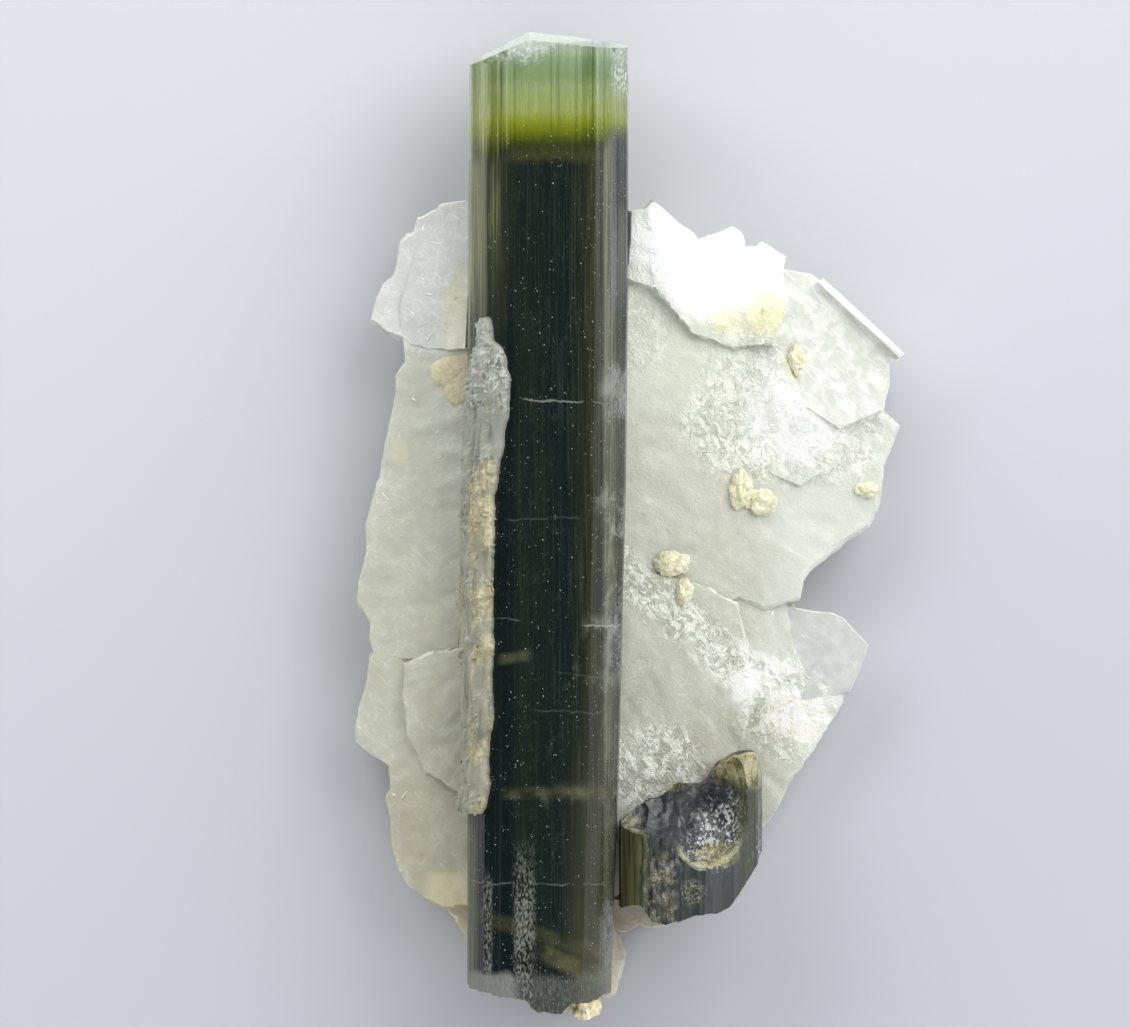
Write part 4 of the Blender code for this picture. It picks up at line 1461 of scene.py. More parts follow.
@dataclass
class MainCrystal:
    """The long ribbed prism with its clear green end and broken foot."""

    axis: float = 7.6
    half_width: float = 4.9
    left_side: Table = ((31.5, -9.75), (20.0, -9.85), (1.6, -9.93), (-30.0, -9.93))
    right_side: Table = ((31.5, 0.03), (14.0, 0.0), (1.6, -0.13), (-16.9, -0.62), (-30.0, -1.08))
    section: Table = (
        (-1.00, -0.10), (-0.97, 1.30), (-0.76, 3.00), (-0.45, 3.85), (0.06, 4.20), (0.58, 4.05),
        (0.68, 3.75), (0.79, 3.30), (0.98, 1.20), (1.00, -0.60), (0.88, -1.75), (0.36, -3.95),
        (0.05, -4.25), (-0.30, -4.10), (-0.86, -2.15), (-0.99, -1.10),
    )
    foot_edge: Table = (
        (-9.93, -28.2), (-8.8, -28.4), (-7.0, -28.7), (-6.3, -28.8), (-5.9, -29.2), (-5.5, -29.5),
        (-4.05, -29.6), (-3.6, -29.1), (-1.7, -28.7), (-1.08, -28.6),
    )
    peak: Triple = (-6.1, 29.55, 11.8)
    end_slopes: tuple[Triple, ...] = ((0.11, 1.0, 0.16), (-0.48, 1.0, 0.16))
    chips: tuple[tuple[Triple, float], ...] = (
        ((-7.7, 29.0, 11.25), 0.55), ((-8.7, 28.6, 10.5), 0.35), ((-0.05, 27.5, 8.3), 0.42),
        ((-0.2, 26.9, 8.0), 0.3), ((-2.9, 29.4, 11.9), 0.3), ((-0.9, 29.2, 10.6), 0.25),
    )
    foot_lump: Lump = Lump((-2.75, -28.95, 9.3), (1.05, 1.15, 2.0))
    top: float = 33.0
    pitch: float = 0.1
    levels: int = 88
    foot_rings: int = 30
    ragged_rim: float = 0.16
    ragged_foot: float = 0.45
    sharp: float = 24.0
    dusty_from: float = 0.25
    dusty_until: float = 24.5
    dust: Scatter = Scatter(
        "white_dust", Grit.SPECK, 2.3, (0.012, 0.012, 0.008), (0.045, 0.06, 0.02), 20.0, math.pi, 21, 0.003
    )
    ribs: Ribs = Ribs()
    finish: TourmalineFinish = TourmalineFinish()
    clay: ClayFinish = ClayFinish("foot_clay", (0.62, 0.55, 0.28), (0.80, 0.77, 0.60))
    dust_finish: GritFinish = GritFinish(
        "white_dust", (0.42, 0.43, 0.38), (0.20, 0.20, 0.17), 4.0, 3.0, (0.35, 0.65), (0.7, 0.1)
    )

    def point(self, u: float, z: float, y: float) -> Vector:
        """Return a section point, u half widths across and z above the axis, at the station y."""
        left, right = along(self.left_side, y), along(self.right_side, y)
        return Vector(((left + right) / 2 + u * (right - left) / 2, y, self.axis + z))

    def corners(self, grow: float = 0.0) -> Table:
        """Return the section's corners in millimetres, grown outwards."""
        spots = [Vector((u * self.half_width, z)) for u, z in self.section]
        return tuple(tuple(spot + spot.normalized() * grow) for spot in spots)

    def build(self) -> list[Object]:
        """Build the prism, the clay on its foot and the dust on its faces.

        Returns:
            The pieces.
        """
        green = self.finish.build()
        crystal = self._prism(green)
        self.ribs.grow(crystal, green)
        self._cut_end(crystal)
        gloss(crystal, self.sharp)
        clay = settle("foot_clay", self.foot_lump.build(50.0, 4), self.clay.build())
        share_by(crystal, self._dusty)
        dust = self.dust.grow(crystal, self.dust_finish.build())
        present(crystal, "tourmaline_crystal")
        return [crystal, present(clay), present(dust)]

    def _prism(self, material: Material) -> Object:
        """Build a plain prism from its rough foot to above its end, marked for the ribs.

        Args:
            material: Its material.

        Returns:
            The prism.
        """
        wall = walk(self.corners(), self.pitch)
        foot = [self._foot_point(place) for place in wall]
        middle = centre(foot)
        sizes = [step / self.foot_rings for step in range(1, self.foot_rings)]
        rings = [[self._foot_inside(middle, point, size) for point in foot] for size in sizes]
        for level in range(self.levels):
            rise = level / (self.levels - 1)
            ring = []
            for place, start in zip(wall, foot):
                y = start.y + (self.top - start.y) * rise
                ring.append(self.point(place.spot.x / self.half_width, place.spot.y, y))
            rings.append(ring)
        shares = [size**4 for size in sizes] + [1.0] * self.levels
        return settle("main_prism", skin(rings, wall, shares), material)

    def _foot_point(self, place: WallPoint) -> Vector:
        """Return where a line of the prism's side ends at the broken foot."""
        low = self.point(place.spot.x / self.half_width, place.spot.y, self.foot_edge[0][1])
        return Vector((low.x, along(self.foot_edge, low.x) + self.ragged_rim * rough(low, 0.8, 4.0), low.z))

    def _foot_inside(self, middle: Vector, point: Vector, size: float) -> Vector:
        """Return a point inside the broken foot's face.

        Args:
            middle: The face's middle.
            point: A point of its rim.
            size: How far out to go from the middle to the rim.

        Returns:
            The point.
        """
        place = middle + (point - middle) * size
        edge = along(self.foot_edge, place.x)
        inner = self.ragged_foot * rough(place, 1.6, 3.0)
        place.y = edge + inner * (1.0 - size**3) + (point.y - edge) * size**3
        return place

    def _cut_end(self, crystal: Object) -> None:
        """Cut the flat faces of the finished end, and the chips out of it.

        Args:
            crystal: The prism.
        """
        bm = bmesh.new()
        bm.from_mesh(crystal.data)
        bmesh.ops.scale(bm, vec=(1.0 / MM,) * 3, verts=bm.verts)
        for way in self.end_slopes:
            geometry = [*bm.verts, *bm.edges, *bm.faces]
            bmesh.ops.bisect_plane(
                bm, geom=geometry, dist=1e-5, plane_co=self.peak, plane_no=way, clear_outer=True
            )
            bmesh.ops.holes_fill(bm, edges=[edge for edge in bm.edges if edge.is_boundary])
        bmesh.ops.triangulate(bm, faces=[face for face in bm.faces if len(face.verts) > 4])
        bmesh.ops.scale(bm, vec=(MM,) * 3, verts=bm.verts)
        bm.to_mesh(crystal.data)
        bm.free()
        cutters = []
        for index, (middle, radius) in enumerate(self.chips):
            chip = Lump(middle, (radius, radius * 1.2, radius), 0.6)
            cutters.append(settle(f"chip_{index + 1}", chip.build(3.0 * index, 3)))
        combine(crystal, cutters, "DIFFERENCE")

    def _dusty(self, place: Vector, way: Vector) -> float:
        """Return the share of dust at a place, which lies on the upper faces.

        Args:
            place: The place.
            way: The way out there.

        Returns:
            The share.
        """
        if way.z < self.dusty_from or place.y > self.dusty_until:
            return 0.0
        drift = 0.6 + 0.9 * hum(place.x * 0.5, place.y * 0.18, 4.0)
        return drift + (0.9 if place.x > -2.4 else 0.0)


@dataclass
class SideCrystal:
    """The short crystal: a thick ribbed prism with a shell-like hollow in its head."""

    section: Table = (
        (-0.62, 6.6), (-0.5, 8.2), (0.75, 9.7), (2.0, 10.3), (4.6, 10.6), (6.5, 9.8), (7.9, 8.1),
        (8.35, 6.4), (7.9, 4.7), (6.3, 3.6), (1.3, 3.6), (-0.1, 4.9),
    )
    foot: Table = (
        (-0.4, -23.4), (0.7, -23.1), (1.5, -24.2), (2.3, -24.3), (4.1, -23.7), (5.4, -23.6),
        (6.2, -23.2), (7.0, -22.2), (7.7, -21.2), (8.35, -20.0),
    )
    head: Table = (
        (-0.4, -18.1), (0.4, -17.5), (2.4, -16.4), (3.1, -15.9), (4.9, -15.8), (5.4, -15.0),
        (6.4, -14.3), (7.5, -13.9), (7.8, -13.9), (8.1, -14.5), (8.35, -15.3),
    )
    scoops: tuple[tuple[Triple, Triple], ...] = (
        ((4.85, -16.9, 10.9), (3.0, 4.1, 4.4)),
        ((1.6, -15.9, 10.6), (2.6, 3.2, 3.4)),
        ((0.1, -16.3, 9.9), (2.1, 2.6, 2.9)),
    )
    pitch: float = 0.12
    levels: int = 34
    end_rings: int = 22
    inset: float = 0.03
    ragged_edge: float = 0.12
    gap: float = 0.1
    ragged_end: float = 0.45
    sharp: float = 28.0
    ribs: Ribs = Ribs(0.10, 0.5, 0.05, 31.0)
    finish: BrokenTourmalineFinish = BrokenTourmalineFinish()

    def build(self) -> list[Object]:
        """Build the short crystal.

        Returns:
            The one piece.
        """
        slate = self.finish.build()
        crystal = self._prism(slate)
        self.ribs.grow(crystal, slate)
        combine(crystal, self._scoops(), "DIFFERENCE")
        gloss(crystal, self.sharp)
        return [present(crystal, "side_tourmaline")]

    def _prism(self, material: Material) -> Object:
        """Build a prism between its two rough ends, marked for the ribs.

        Args:
            material: Its material.

        Returns:
            The prism.
        """
        wall = walk(self.section, self.pitch)
        sides: list[list[Vector]] = []
        for level in range(self.levels):
            rise = level / (self.levels - 1)
            ring = []
            for place in wall:
                spot = place.spot - place.outward * (self.inset + self._broken(place.spot, level / 3.0))
                low = along(self.foot, spot.x) + self._ragged(spot, 5.0)
                high = along(self.head, spot.x) + self._ragged(spot, 8.0) - self.gap
                ring.append(Vector((spot.x, low + (high - low) * rise, spot.y)))
            sides.append(ring)
        foot = self._end(sides[0], self.foot, 7.0)
        head = self._end(sides[-1], self.head, 9.0)[::-1]
        shares = [0.0] * len(foot) + [1.0] * len(sides) + [0.0] * len(head)
        return settle("short_prism", skin(foot + sides + head, wall, shares), material)

    def _ragged(self, spot: Vector, seed: float) -> float:
        """Return how far an end's rim is pushed along at a place."""
        return self.ragged_edge * hum(spot.x * 2.0, spot.y * 2.0, seed)

    @staticmethod
    def _broken(spot: Vector, station: float) -> float:
        """Return how deep the front is broken away at a place, in upright blocks.

        Args:
            spot: The place in the section.
            station: How far along the crystal it is.

        Returns:
            The depth.
        """
        window = max(0.0, 1.0 - abs(spot.x - 2.0) / 1.7) if spot.y > 8.8 else 0.0
        blocks = 0.5 + rough(Vector((spot.x * 2.2, station * 0.5, 0.0)), 1.0, 14.0)
        return 0.34 * min(1.0, 2.0 * window) * max(0.0, blocks)

    def _end(self, ring: list[Vector], edge: Table, seed: float) -> list[list[Vector]]:
        """Return smaller rings inside a broken end.

        Args:
            ring: The end's rim.
            edge: The end's outline.
            seed: The end's own seed.

        Returns:
            The rings, from the smallest.
        """
        middle = centre(ring)
        rings = []
        for step in range(1, self.end_rings):
            size = step / self.end_rings
            inner = []
            for point in ring:
                place = middle + (point - middle) * size
                place.y = along(edge, place.x) + self.ragged_end * rough(place, 1.8, seed) * (1.0 - size**3)
                inner.append(place)
            rings.append(inner)
        return rings

    def _scoops(self) -> list[Object]:
        """Build the solids that the hollow is broken out with.

        Returns:
            The solids.
        """
        made = []
        for number, (middle, radii) in enumerate(self.scoops):

            def swell(way: Vector, shift: Vector = Vector((2.3 * number, 0.0, 0.0))) -> float:
                """Size the scoop one way out.

                Args:
                    way: The way.
                    shift: Where its noise starts.

                Returns:
                    The size.
                """
                ripple = 0.02 * math.sin(9.0 * way.z + 3.0 * way.x)
                large = 0.07 * noise.noise(way * 2.2 + shift) + 0.035 * noise.noise(way * 5.0 + shift)
                small = 0.030 * abs(noise.noise(way * 11.0 + shift)) + 0.010 * noise.noise(way * 27.0)
                return 1.0 + ripple + large + small

            made.append(settle(f"scoop_{number + 1}", ball(middle, radii, 6, swell)))
        return made


# ------------------------------------------------------------- plates and crust


def within(edge: np.ndarray, spots: np.ndarray) -> np.ndarray:
    """Tell which points lie inside a closed line.

    Args:
        edge: The line's corners.
        spots: The points.

    Returns:
        One flag for each point.
    """
    inside = np.zeros(len(spots), bool)
    for (x0, y0), (x1, y1) in zip(edge, np.roll(edge, -1, axis=0)):
        crosses = (y0 > spots[:, 1]) != (y1 > spots[:, 1])
        at = x0 + (spots[:, 1] - y0) * (x1 - x0) / ((y1 - y0) or 1e-12)
        inside ^= crosses & (spots[:, 0] < at)
    return inside


def inside_grid(edge: np.ndarray, pitch: float, seed: int) -> np.ndarray:
    """Return the points of a shaken grid that lie well inside a closed line.

    Args:
        edge: The line's corners.
        pitch: The grid's pitch.
        seed: The seed of the shaking.

    Returns:
        The points.
    """
    rng = np.random.default_rng(seed)
    low, high = edge.min(0), edge.max(0)
    xs, ys = np.meshgrid(np.arange(low[0], high[0], pitch), np.arange(low[1], high[1], pitch * 0.87))
    xs = xs + (np.arange(xs.shape[0]) % 2)[:, None] * pitch / 2
    spots = np.stack((xs.ravel(), ys.ravel()), axis=1) + rng.uniform(-0.22, 0.22, (xs.size, 2)) * pitch
    clear = np.full(len(spots), 1e9)
    for start, end in zip(edge, np.roll(edge, -1, axis=0)):
        side = end - start
        share = np.clip(((spots - start) @ side) / max(side @ side, 1e-12), 0.0, 1.0)
        away = spots - start - share[:, None] * side
        clear = np.minimum(clear, np.hypot(away[:, 0], away[:, 1]))
    return spots[within(edge, spots) & (clear > pitch * 0.55)]


@dataclass(frozen=True)
class Plate:
    """One cleavage plate: its height, the fall of its top and its outline."""

    name: str
    bottom: float
    top: float
    slope: Point
    outline: Table
    grain: float = 0.6
    step: float = 0.09
    ragged: float = 0.13
    inset: float = 1.0
    pitch: float = 0.3
    riser: float = 0.12
    ledges: tuple[float, ...] = (0.0, 0.3, 0.32, 0.55, 0.57, 0.76, 0.78, 0.92, 1.0)

    def middle(self) -> Vector:
        """Return the middle of the outline."""
        return centre([Vector(corner) for corner in self.outline])

    def corners(self) -> Table:
        """Turn the outline so that it runs anticlockwise.

        Returns:
            The outline.
        """
        after = (*self.outline[1:], self.outline[0])
        twice = sum(x0 * y1 - x1 * y0 for (x0, y0), (x1, y1) in zip(self.outline, after))
        return self.outline if twice > 0.0 else self.outline[::-1]

    def height(self, x: float, y: float, seed: float) -> float:
        """Return the top's height with its cleavage steps.

        Args:
            x: The place across.
            y: The place along.
            seed: The plate's own seed.

        Returns:
            The height.
        """
        middle = self.middle()
        base = self.top + self.slope[0] * (x - middle.x) + self.slope[1] * (y - middle.y)
        turn_x = x * math.cos(self.grain) + y * math.sin(self.grain)
        turn_y = y * math.cos(self.grain) - x * math.sin(self.grain)
        broad, fine = hum(turn_x * 0.22, turn_y * 0.13, seed), hum(turn_x * 0.7, turn_y * 0.35, seed + 3.0)
        level = 3.2 * broad + 1.1 * fine
        stair = math.floor(level) + min(1.0, (level - math.floor(level)) / self.riser)
        grit = 0.035 * hum(turn_x * 1.7, turn_y * 0.9, seed + 6.0) + 0.02 * hum(x * 3.7, y * 3.7, seed)
        return base + self.step * stair + grit

    def build(self, seed: float, pitch: float) -> Mesh:
        """Build the plate.

        Args:
            seed: The plate's own seed.
            pitch: The size of the cells on its top.

        Returns:
            The closed mesh.
        """
        wall = walk(self.corners(), self.pitch)
        middle = self.middle()
        rng = random.Random(int(seed * 7))
        rings: list[list[Vector]] = []
        inset = 0.0
        for level, share in enumerate(self.ledges):
            layer = level // 2
            if level and level % 2 == 0:
                inset += rng.uniform(0.03, 0.10) * self.inset
            ring = []
            for place in wall:
                away = (place.spot - middle).normalized()
                cell = noise.cell(Vector((place.spot.x * 1.6, place.spot.y * 1.6, seed + layer)))
                wave = hum(place.spot.x * 1.4, place.spot.y * 1.4, seed + 2.0 * layer)
                push = self.ragged * (0.8 * wave + 0.7 * (cell - 0.5)) - inset
                spot = place.spot + away * push
                high = self.height(spot.x, spot.y, seed)
                ring.append(Vector((spot.x, spot.y, self.bottom + (high - self.bottom) * share)))
            rings.append(ring)
        bm = bmesh.new()
        rows = weave(bm, rings)
        bm.faces.new(rows[0][::-1])
        self._roof(bm, rows[-1], seed, pitch)
        return bm

    def _roof(self, bm: Mesh, rim: list[bmesh.types.BMVert], seed: float, pitch: float) -> None:
        """Close the top with small triangles that follow its steps.

        Args:
            bm: The plate's mesh.
            rim: The corners round the top.
            seed: The plate's own seed.
            pitch: The size of the triangles.
        """
        edge = np.array([(vert.co.x, vert.co.y) for vert in rim])
        inner = inside_grid(edge, pitch, int(seed * 13))
        places = [Vector(spot) for spot in edge.tolist() + inner.tolist()]
        count = len(rim)
        spots, _, faces, *_ = delaunay_2d_cdt(places, [], [list(range(count))], 1, 1e-7, True)
        if len(spots) != len(places) or not faces:
            LOG.warning("plate %s has a plain top", self.name)
            bm.faces.new(rim)
            return
        flat = np.array(places)
        kept = within(edge, np.array([flat[list(face)].mean(0) for face in faces]))
        verts = list(rim)
        for spot in spots[count:]:
            verts.append(bm.verts.new((spot.x, spot.y, self.height(spot.x, spot.y, seed))))
        for face, keep in zip(faces, kept):
            if keep:
                bm.faces.new([verts[index] for index in face])


RIGHT_EDGE: Table = (
    (16.1, 7.2), (17.1, 6.3), (16.6, 4.8), (16.1, 3.7), (16.0, 2.3), (15.7, 1.0), (15.2, 0.0),
    (13.9, -0.9), (12.7, -1.9), (11.5, -2.8), (11.0, -3.6), (10.8, -4.7),
)


@dataclass
class AlbiteMatrix:
    """The stack of milky plates with clay lumps, clear flakes and fine shards."""

    core: Table = (
        (-9.8, 19.5), (-11.7, 19.0), (-13.5, 17.3), (-14.2, 14.8), (-14.3, 12.3), (-13.3, 11.0),
        (-13.6, 7.9), (-14.5, 4.2), (-15.5, -0.9), (-16.0, -4.6), (-15.5, -7.7), (-16.0, -10.9),
        (-16.0, -13.1), (-14.3, -14.6), (-14.2, -17.1), (-14.1, -20.2), (-13.3, -22.4), (-11.4, -23.7),
        (-9.8, -26.0), (-8.0, -27.6), (-4.2, -29.0), (-1.7, -28.6), (-0.9, -27.1), (-0.6, -24.1),
        (2.0, -24.0), (4.6, -22.1), (7.4, -19.0), (9.2, -17.1), (10.8, -14.6), (12.7, -11.2),
        (13.0, -7.7), (10.8, -5.4), (10.2, -4.0), (10.8, -2.1), (13.9, 0.4), (15.2, 2.9), (15.1, 6.7),
        (15.2, 9.2), (14.6, 11.4), (11.8, 14.0), (9.6, 14.8), (7.1, 16.7), (3.9, 17.0), (1.4, 18.9),
    )
    core_middle: Point = (-1.0, -4.0)
    core_ledges: tuple[Triple, ...] = (
        (0.0, 1.3, 1.0), (0.55, 0.9, 1.0), (0.6, 0.25, 4.0), (1.2, 0.2, 4.0), (1.25, -0.1, 8.0),
        (1.9, 0.0, 8.0), (1.95, 0.35, 12.0), (2.6, 0.3, 12.0), (2.65, 0.8, 15.0), (3.1, 0.9, 15.0),
    )
    plates: tuple[Plate, ...] = (
        Plate("left", 2.3, 5.5, (0.15, 0.0), (
            (-8.0, 18.4), (-12.9, 17.8), (-14.1, 14.0), (-13.8, 11.0), (-13.8, 10.4), (-14.4, 9.6),
            (-14.4, 8.7), (-14.7, 7.1), (-15.3, 4.5), (-15.6, 3.0), (-16.4, 0.0), (-16.3, -1.6),
            (-16.8, -3.7), (-16.9, -5.0), (-16.0, -6.2), (-16.1, -7.1), (-15.8, -8.2), (-12.9, -8.6),
            (-8.0, -8.6),
        ), 1.4, 0.06),
        Plate("upper_left", 2.55, 5.5, (0.20, -0.05), (
            (-8.0, 20.4), (-10.0, 20.4), (-11.6, 20.2), (-11.9, 19.9), (-13.1, 19.3), (-13.3, 18.6),
            (-14.2, 17.9), (-14.7, 15.6), (-15.3, 15.1), (-15.7, 14.3), (-16.1, 12.7), (-15.0, 11.9),
            (-13.8, 11.2), (-12.3, 10.6), (-8.0, 10.9),
        ), 0.3, 0.08),
        Plate("lower_left", 2.55, 6.2, (0.05, 0.04), (
            (-8.0, -7.0), (-12.2, -7.5), (-14.0, -8.3), (-14.1, -10.7), (-13.8, -13.2), (-12.6, -15.4),
            (-10.7, -16.6), (-8.0, -16.9),
        ), 2.2, 0.08),
        Plate("left_slab", 1.6, 5.15, (0.10, 0.05), (
            (-8.0, -6.6), (-15.2, -6.9), (-16.1, -8.0), (-16.3, -9.6), (-16.8, -11.2), (-17.1, -13.2),
            (-16.4, -13.8), (-15.0, -14.6), (-14.9, -16.4), (-15.2, -17.0), (-14.8, -18.3),
            (-14.7, -20.0), (-14.3, -21.4), (-13.8, -22.4), (-12.5, -23.3), (-11.4, -23.8), (-8.0, -23.6),
        ), 0.9, 0.07),
        Plate("tan", 1.45, 4.3, (0.05, 0.1), (
            (-8.0, -21.3), (-11.4, -21.6), (-12.2, -22.4), (-12.5, -23.3), (-11.4, -23.9),
            (-10.6, -25.0), (-10.1, -25.7), (-9.9, -26.7), (-8.0, -27.4),
        ), 2.5, 0.06),
        Plate("bright", 2.25, 6.2, (-0.10, 0.09), (
            (-2.0, 19.4), (0.1, 19.6), (0.9, 19.7), (1.4, 20.3), (2.0, 19.8), (2.9, 19.0), (4.0, 18.3),
            (4.1, 17.9), (5.8, 18.4), (6.5, 18.7), (7.1, 18.4), (7.4, 17.4), (8.2, 17.4), (8.6, 17.7),
            (9.3, 17.2), (9.9, 16.8), (9.8, 15.8), (10.2, 14.0), (9.1, 11.2), (6.6, 10.9), (3.9, 11.8),
            (1.4, 14.6), (-2.0, 15.9),
        ), 0.5, 0.11),
        Plate("right_main", 2.3, 4.52, (-0.15, 0.0), (
            (-2.0, 18.6), (0.8, 18.0), (2.3, 14.6), (4.5, 12.7), (6.6, 11.8), (8.8, 11.4), (12.2, 9.6),
            *RIGHT_EDGE, (8.4, -5.4), (6.8, -4.6), (5.4, -5.3), (4.0, -5.1), (1.7, -4.3), (-2.0, -3.9),
        ), 1.2, 0.05),
        Plate("hexagon", 2.9, 4.70, (0.0, 0.02), (
            (5.7, 11.2), (7.2, 12.2), (9.6, 11.4), (10.6, 9.0), (11.6, 6.7), (13.1, 5.5), (12.7, 4.1),
            (12.2, 3.2), (10.8, 2.3), (8.9, 3.0), (7.6, 4.4), (6.0, 6.0),
        ), 0.9, 0.07, 0.05),
        Plate("right", 1.85, 3.1, (-0.06, 0.02), (
            *RIGHT_EDGE, (7.0, -6.0), (5.4, -2.1), (6.0, 6.0), (8.0, 10.5), (12.2, 9.6),
        ), 2.3, 0.1),
        Plate("lower_right", 1.35, 3.86, (-0.13, 0.06), (
            (1.7, -4.6), (5.5, -3.6), (9.9, -4.2), (10.4, -7.3), (11.4, -9.3), (13.6, -10.3), (13.6, -11.0),
            (12.7, -12.4), (11.8, -13.9), (11.2, -14.8), (10.2, -16.1), (9.6, -17.4), (9.0, -18.4),
            (8.4, -19.0), (4.5, -19.5), (0.8, -19.5), (-2.0, -10.8),
        ), 0.7, 0.1),
        Plate("center_right", 2.65, 5.46, (-0.14, 0.01), (
            (-2.0, -2.4), (2.2, -2.8), (5.2, -3.6), (6.9, -4.6), (7.7, -7.6), (7.9, -10.8), (7.4, -13.3),
            (6.2, -15.8), (4.4, -17.6), (1.6, -19.4), (-2.0, -20.2),
        ), 0.4, 0.05),
        Plate("crumb", 0.95, 3.2, (0.0, 0.0), (
            (-2.0, -23.1), (2.7, -23.1), (3.3, -24.1), (2.6, -25.1), (1.4, -25.3), (0.8, -25.1),
            (-0.3, -25.5), (-2.0, -25.3),
        ), 0.2, 0.1, 0.2),
        Plate("tail", 1.05, 5.6, (0.0, 0.1), (
            (-2.3, -22.6), (-1.0, -23.4), (-0.7, -25.2), (-0.0, -26.8), (-0.1, -27.4), (-0.5, -28.4),
            (-0.7, -29.2), (-1.2, -29.6), (-1.7, -29.4), (-2.4, -29.9), (-4.2, -28.5), (-4.5, -24.5),
        ), 0.2, 0.1, 0.15),
    )
    clear_plates: tuple[Plate, ...] = (
        Plate("straight", 2.6, 4.4, (0.0, 0.03), (
            (9.5, 16.1), (11.4, 15.8), (12.1, 15.3), (17.1, 10.6), (16.9, 10.3), (16.4, 10.6),
            (16.4, 8.9), (16.0, 7.2), (13.2, 6.0), (10.1, 7.9), (8.6, 12.2),
        ), 0.75, 0.02, 0.04, 0.5),
        Plate("flake", 2.9, 3.62, (-0.04, 0.02), (
            (9.9, -5.0), (11.8, -5.3), (12.8, -5.4), (13.5, -5.7), (15.1, -7.4), (14.9, -8.1),
            (14.4, -9.4), (13.9, -10.4), (10.8, -10.9), (8.9, -7.7),
        ), 0.4, 0.008, 0.03, 0.3),
    )
    strip: Plate = Plate("strip", 3.4, 5.1, (0.0, 0.0), (
        (11.82, 15.2), (12.15, 15.45), (17.18, 10.75), (16.92, 10.45),
    ), 0.75, 0.02, 0.01, 0.03)
    lumps: tuple[Lump, ...] = (
        Lump((7.1, 2.2, 4.9), (0.75, 1.15, 0.75), 0.30),
        Lump((8.3, 1.5, 4.7), (1.0, 0.85, 0.7), 0.28),
        Lump((14.9, 2.3, 3.65), (0.8, 0.5, 0.5), 0.30),
        Lump((2.75, -2.3, 5.8), (1.1, 0.75, 0.4), 0.28),
        Lump((3.5, -4.0, 5.7), (0.55, 0.8, 0.35), 0.35),
        Lump((-10.5, 9.5, 5.84), (1.75, 1.25, 0.40), 0.08),
        Lump((-10.15, 8.8, 5.92), (1.25, 1.6, 0.36), 0.10),
        Lump((8.6, 13.4, 5.08), (0.85, 1.1, 0.5), 0.30),
        Lump((10.5, 10.3, 4.5), (0.5, 0.9, 0.5), 0.30),
    )
    clusters: tuple[Triple, ...] = (
        (8.0, 6.4, 3.5), (12.5, 6.5, 3.5), (0.8, -0.5, 1.8), (1.8, -4.4, 2.0), (4.0, -6.3, 2.0),
        (6.4, -8.4, 2.0), (10.4, -11.2, 2.6), (0.8, 14.6, 2.2), (1.8, -15.2, 2.2), (9.0, 11.0, 1.6),
    )
    shards: tuple[Scatter, ...] = (
        Scatter(
            "long_shards", Grit.SHARD, 0.8, (0.12, 0.014, 0.02), (0.75, 0.035, 0.05), 5.0, 1.1, 7, -0.01,
        ),
        Scatter(
            "crossed_shards", Grit.SHARD, 0.8, (0.05, 0.015, 0.02), (0.30, 0.08, 0.05),
            8.0, math.pi, 17, -0.01,
        ),
    )
    channel_stations: tuple[float, ...] = (-30.4, -16.9, 1.6, 14.0, 34.0)
    gap: float = 0.24
    core_pitch: float = 0.45
    pitch: float = 0.27
    clear_pitch: float = 0.35
    sharp: float = 25.0
    finish: AlbiteFinish = AlbiteFinish()
    flake_finishes: tuple[FlakeFinish, ...] = (
        FlakeFinish("straight_flake", (0.70, 0.72, 0.64), (0.79, 0.81, 0.74), 0.9),
        FlakeFinish("clear_flake", (0.60, 0.61, 0.58), (0.64, 0.65, 0.62), 0.75, threads=0.2),
    )
    shard_finish: GritFinish = GritFinish(
        "white_shard", (0.93, 0.94, 0.88), (0.60, 0.61, 0.54), 2.2, 2.0, (0.4, 0.6), (0.3, 0.2), 1.53
    )
    clay: ClayFinish = ClayFinish()

    def build(self, prism: MainCrystal) -> list[Object]:
        """Return the plates and what is on them, with room left for the main crystal.

        Args:
            prism: The main crystal.

        Returns:
            The pieces.
        """
        matrix = self._core(self.finish.build())
        blocks = [
            settle(f"plate_{plate.name}", plate.build(5.0 + 3.0 * index, self.pitch))
            for index, plate in enumerate((*self.plates, self.strip))
        ]
        combine(matrix, blocks, "UNION")
        combine(matrix, [self._channel(prism)], "DIFFERENCE")
        gloss(matrix, self.sharp)
        flakes = []
        for index, (plate, finish) in enumerate(zip(self.clear_plates, self.flake_finishes)):
            shape = plate.build(61.0 + 5.0 * index, self.clear_pitch)
            flakes.append(settle(f"clear_{plate.name}", shape, finish.build()))
            gloss(flakes[-1], self.sharp)
        white = self.shard_finish.build()
        share_by(matrix, self._splintered)
        shards = [scatter.grow(matrix, white) for scatter in self.shards]
        present(matrix, "albite_matrix")
        return [matrix, *(present(piece) for piece in (*flakes, *shards, self._lumps()))]

    def _core(self, material: Material) -> Object:
        """Build the thick plate with a flat back that carries the others.

        Args:
            material: Its material.

        Returns:
            The plate.
        """
        middle = Vector(self.core_middle)
        rings = []
        for height, shrink, seed in self.core_ledges:
            ring = []
            for place in walk(self.core, self.core_pitch):
                away = (place.spot - middle).normalized()
                ragged = 0.55 * hum(place.spot.x * 0.35, place.spot.y * 0.35, seed)
                ragged += 0.16 * hum(place.spot.x * 1.3, place.spot.y * 1.3, seed)
                spot = place.spot - away * (shrink + ragged)
                ring.append(Vector((spot.x, spot.y, height)))
            rings.append(ring)
        return settle("albite_plates", skin(rings), material)

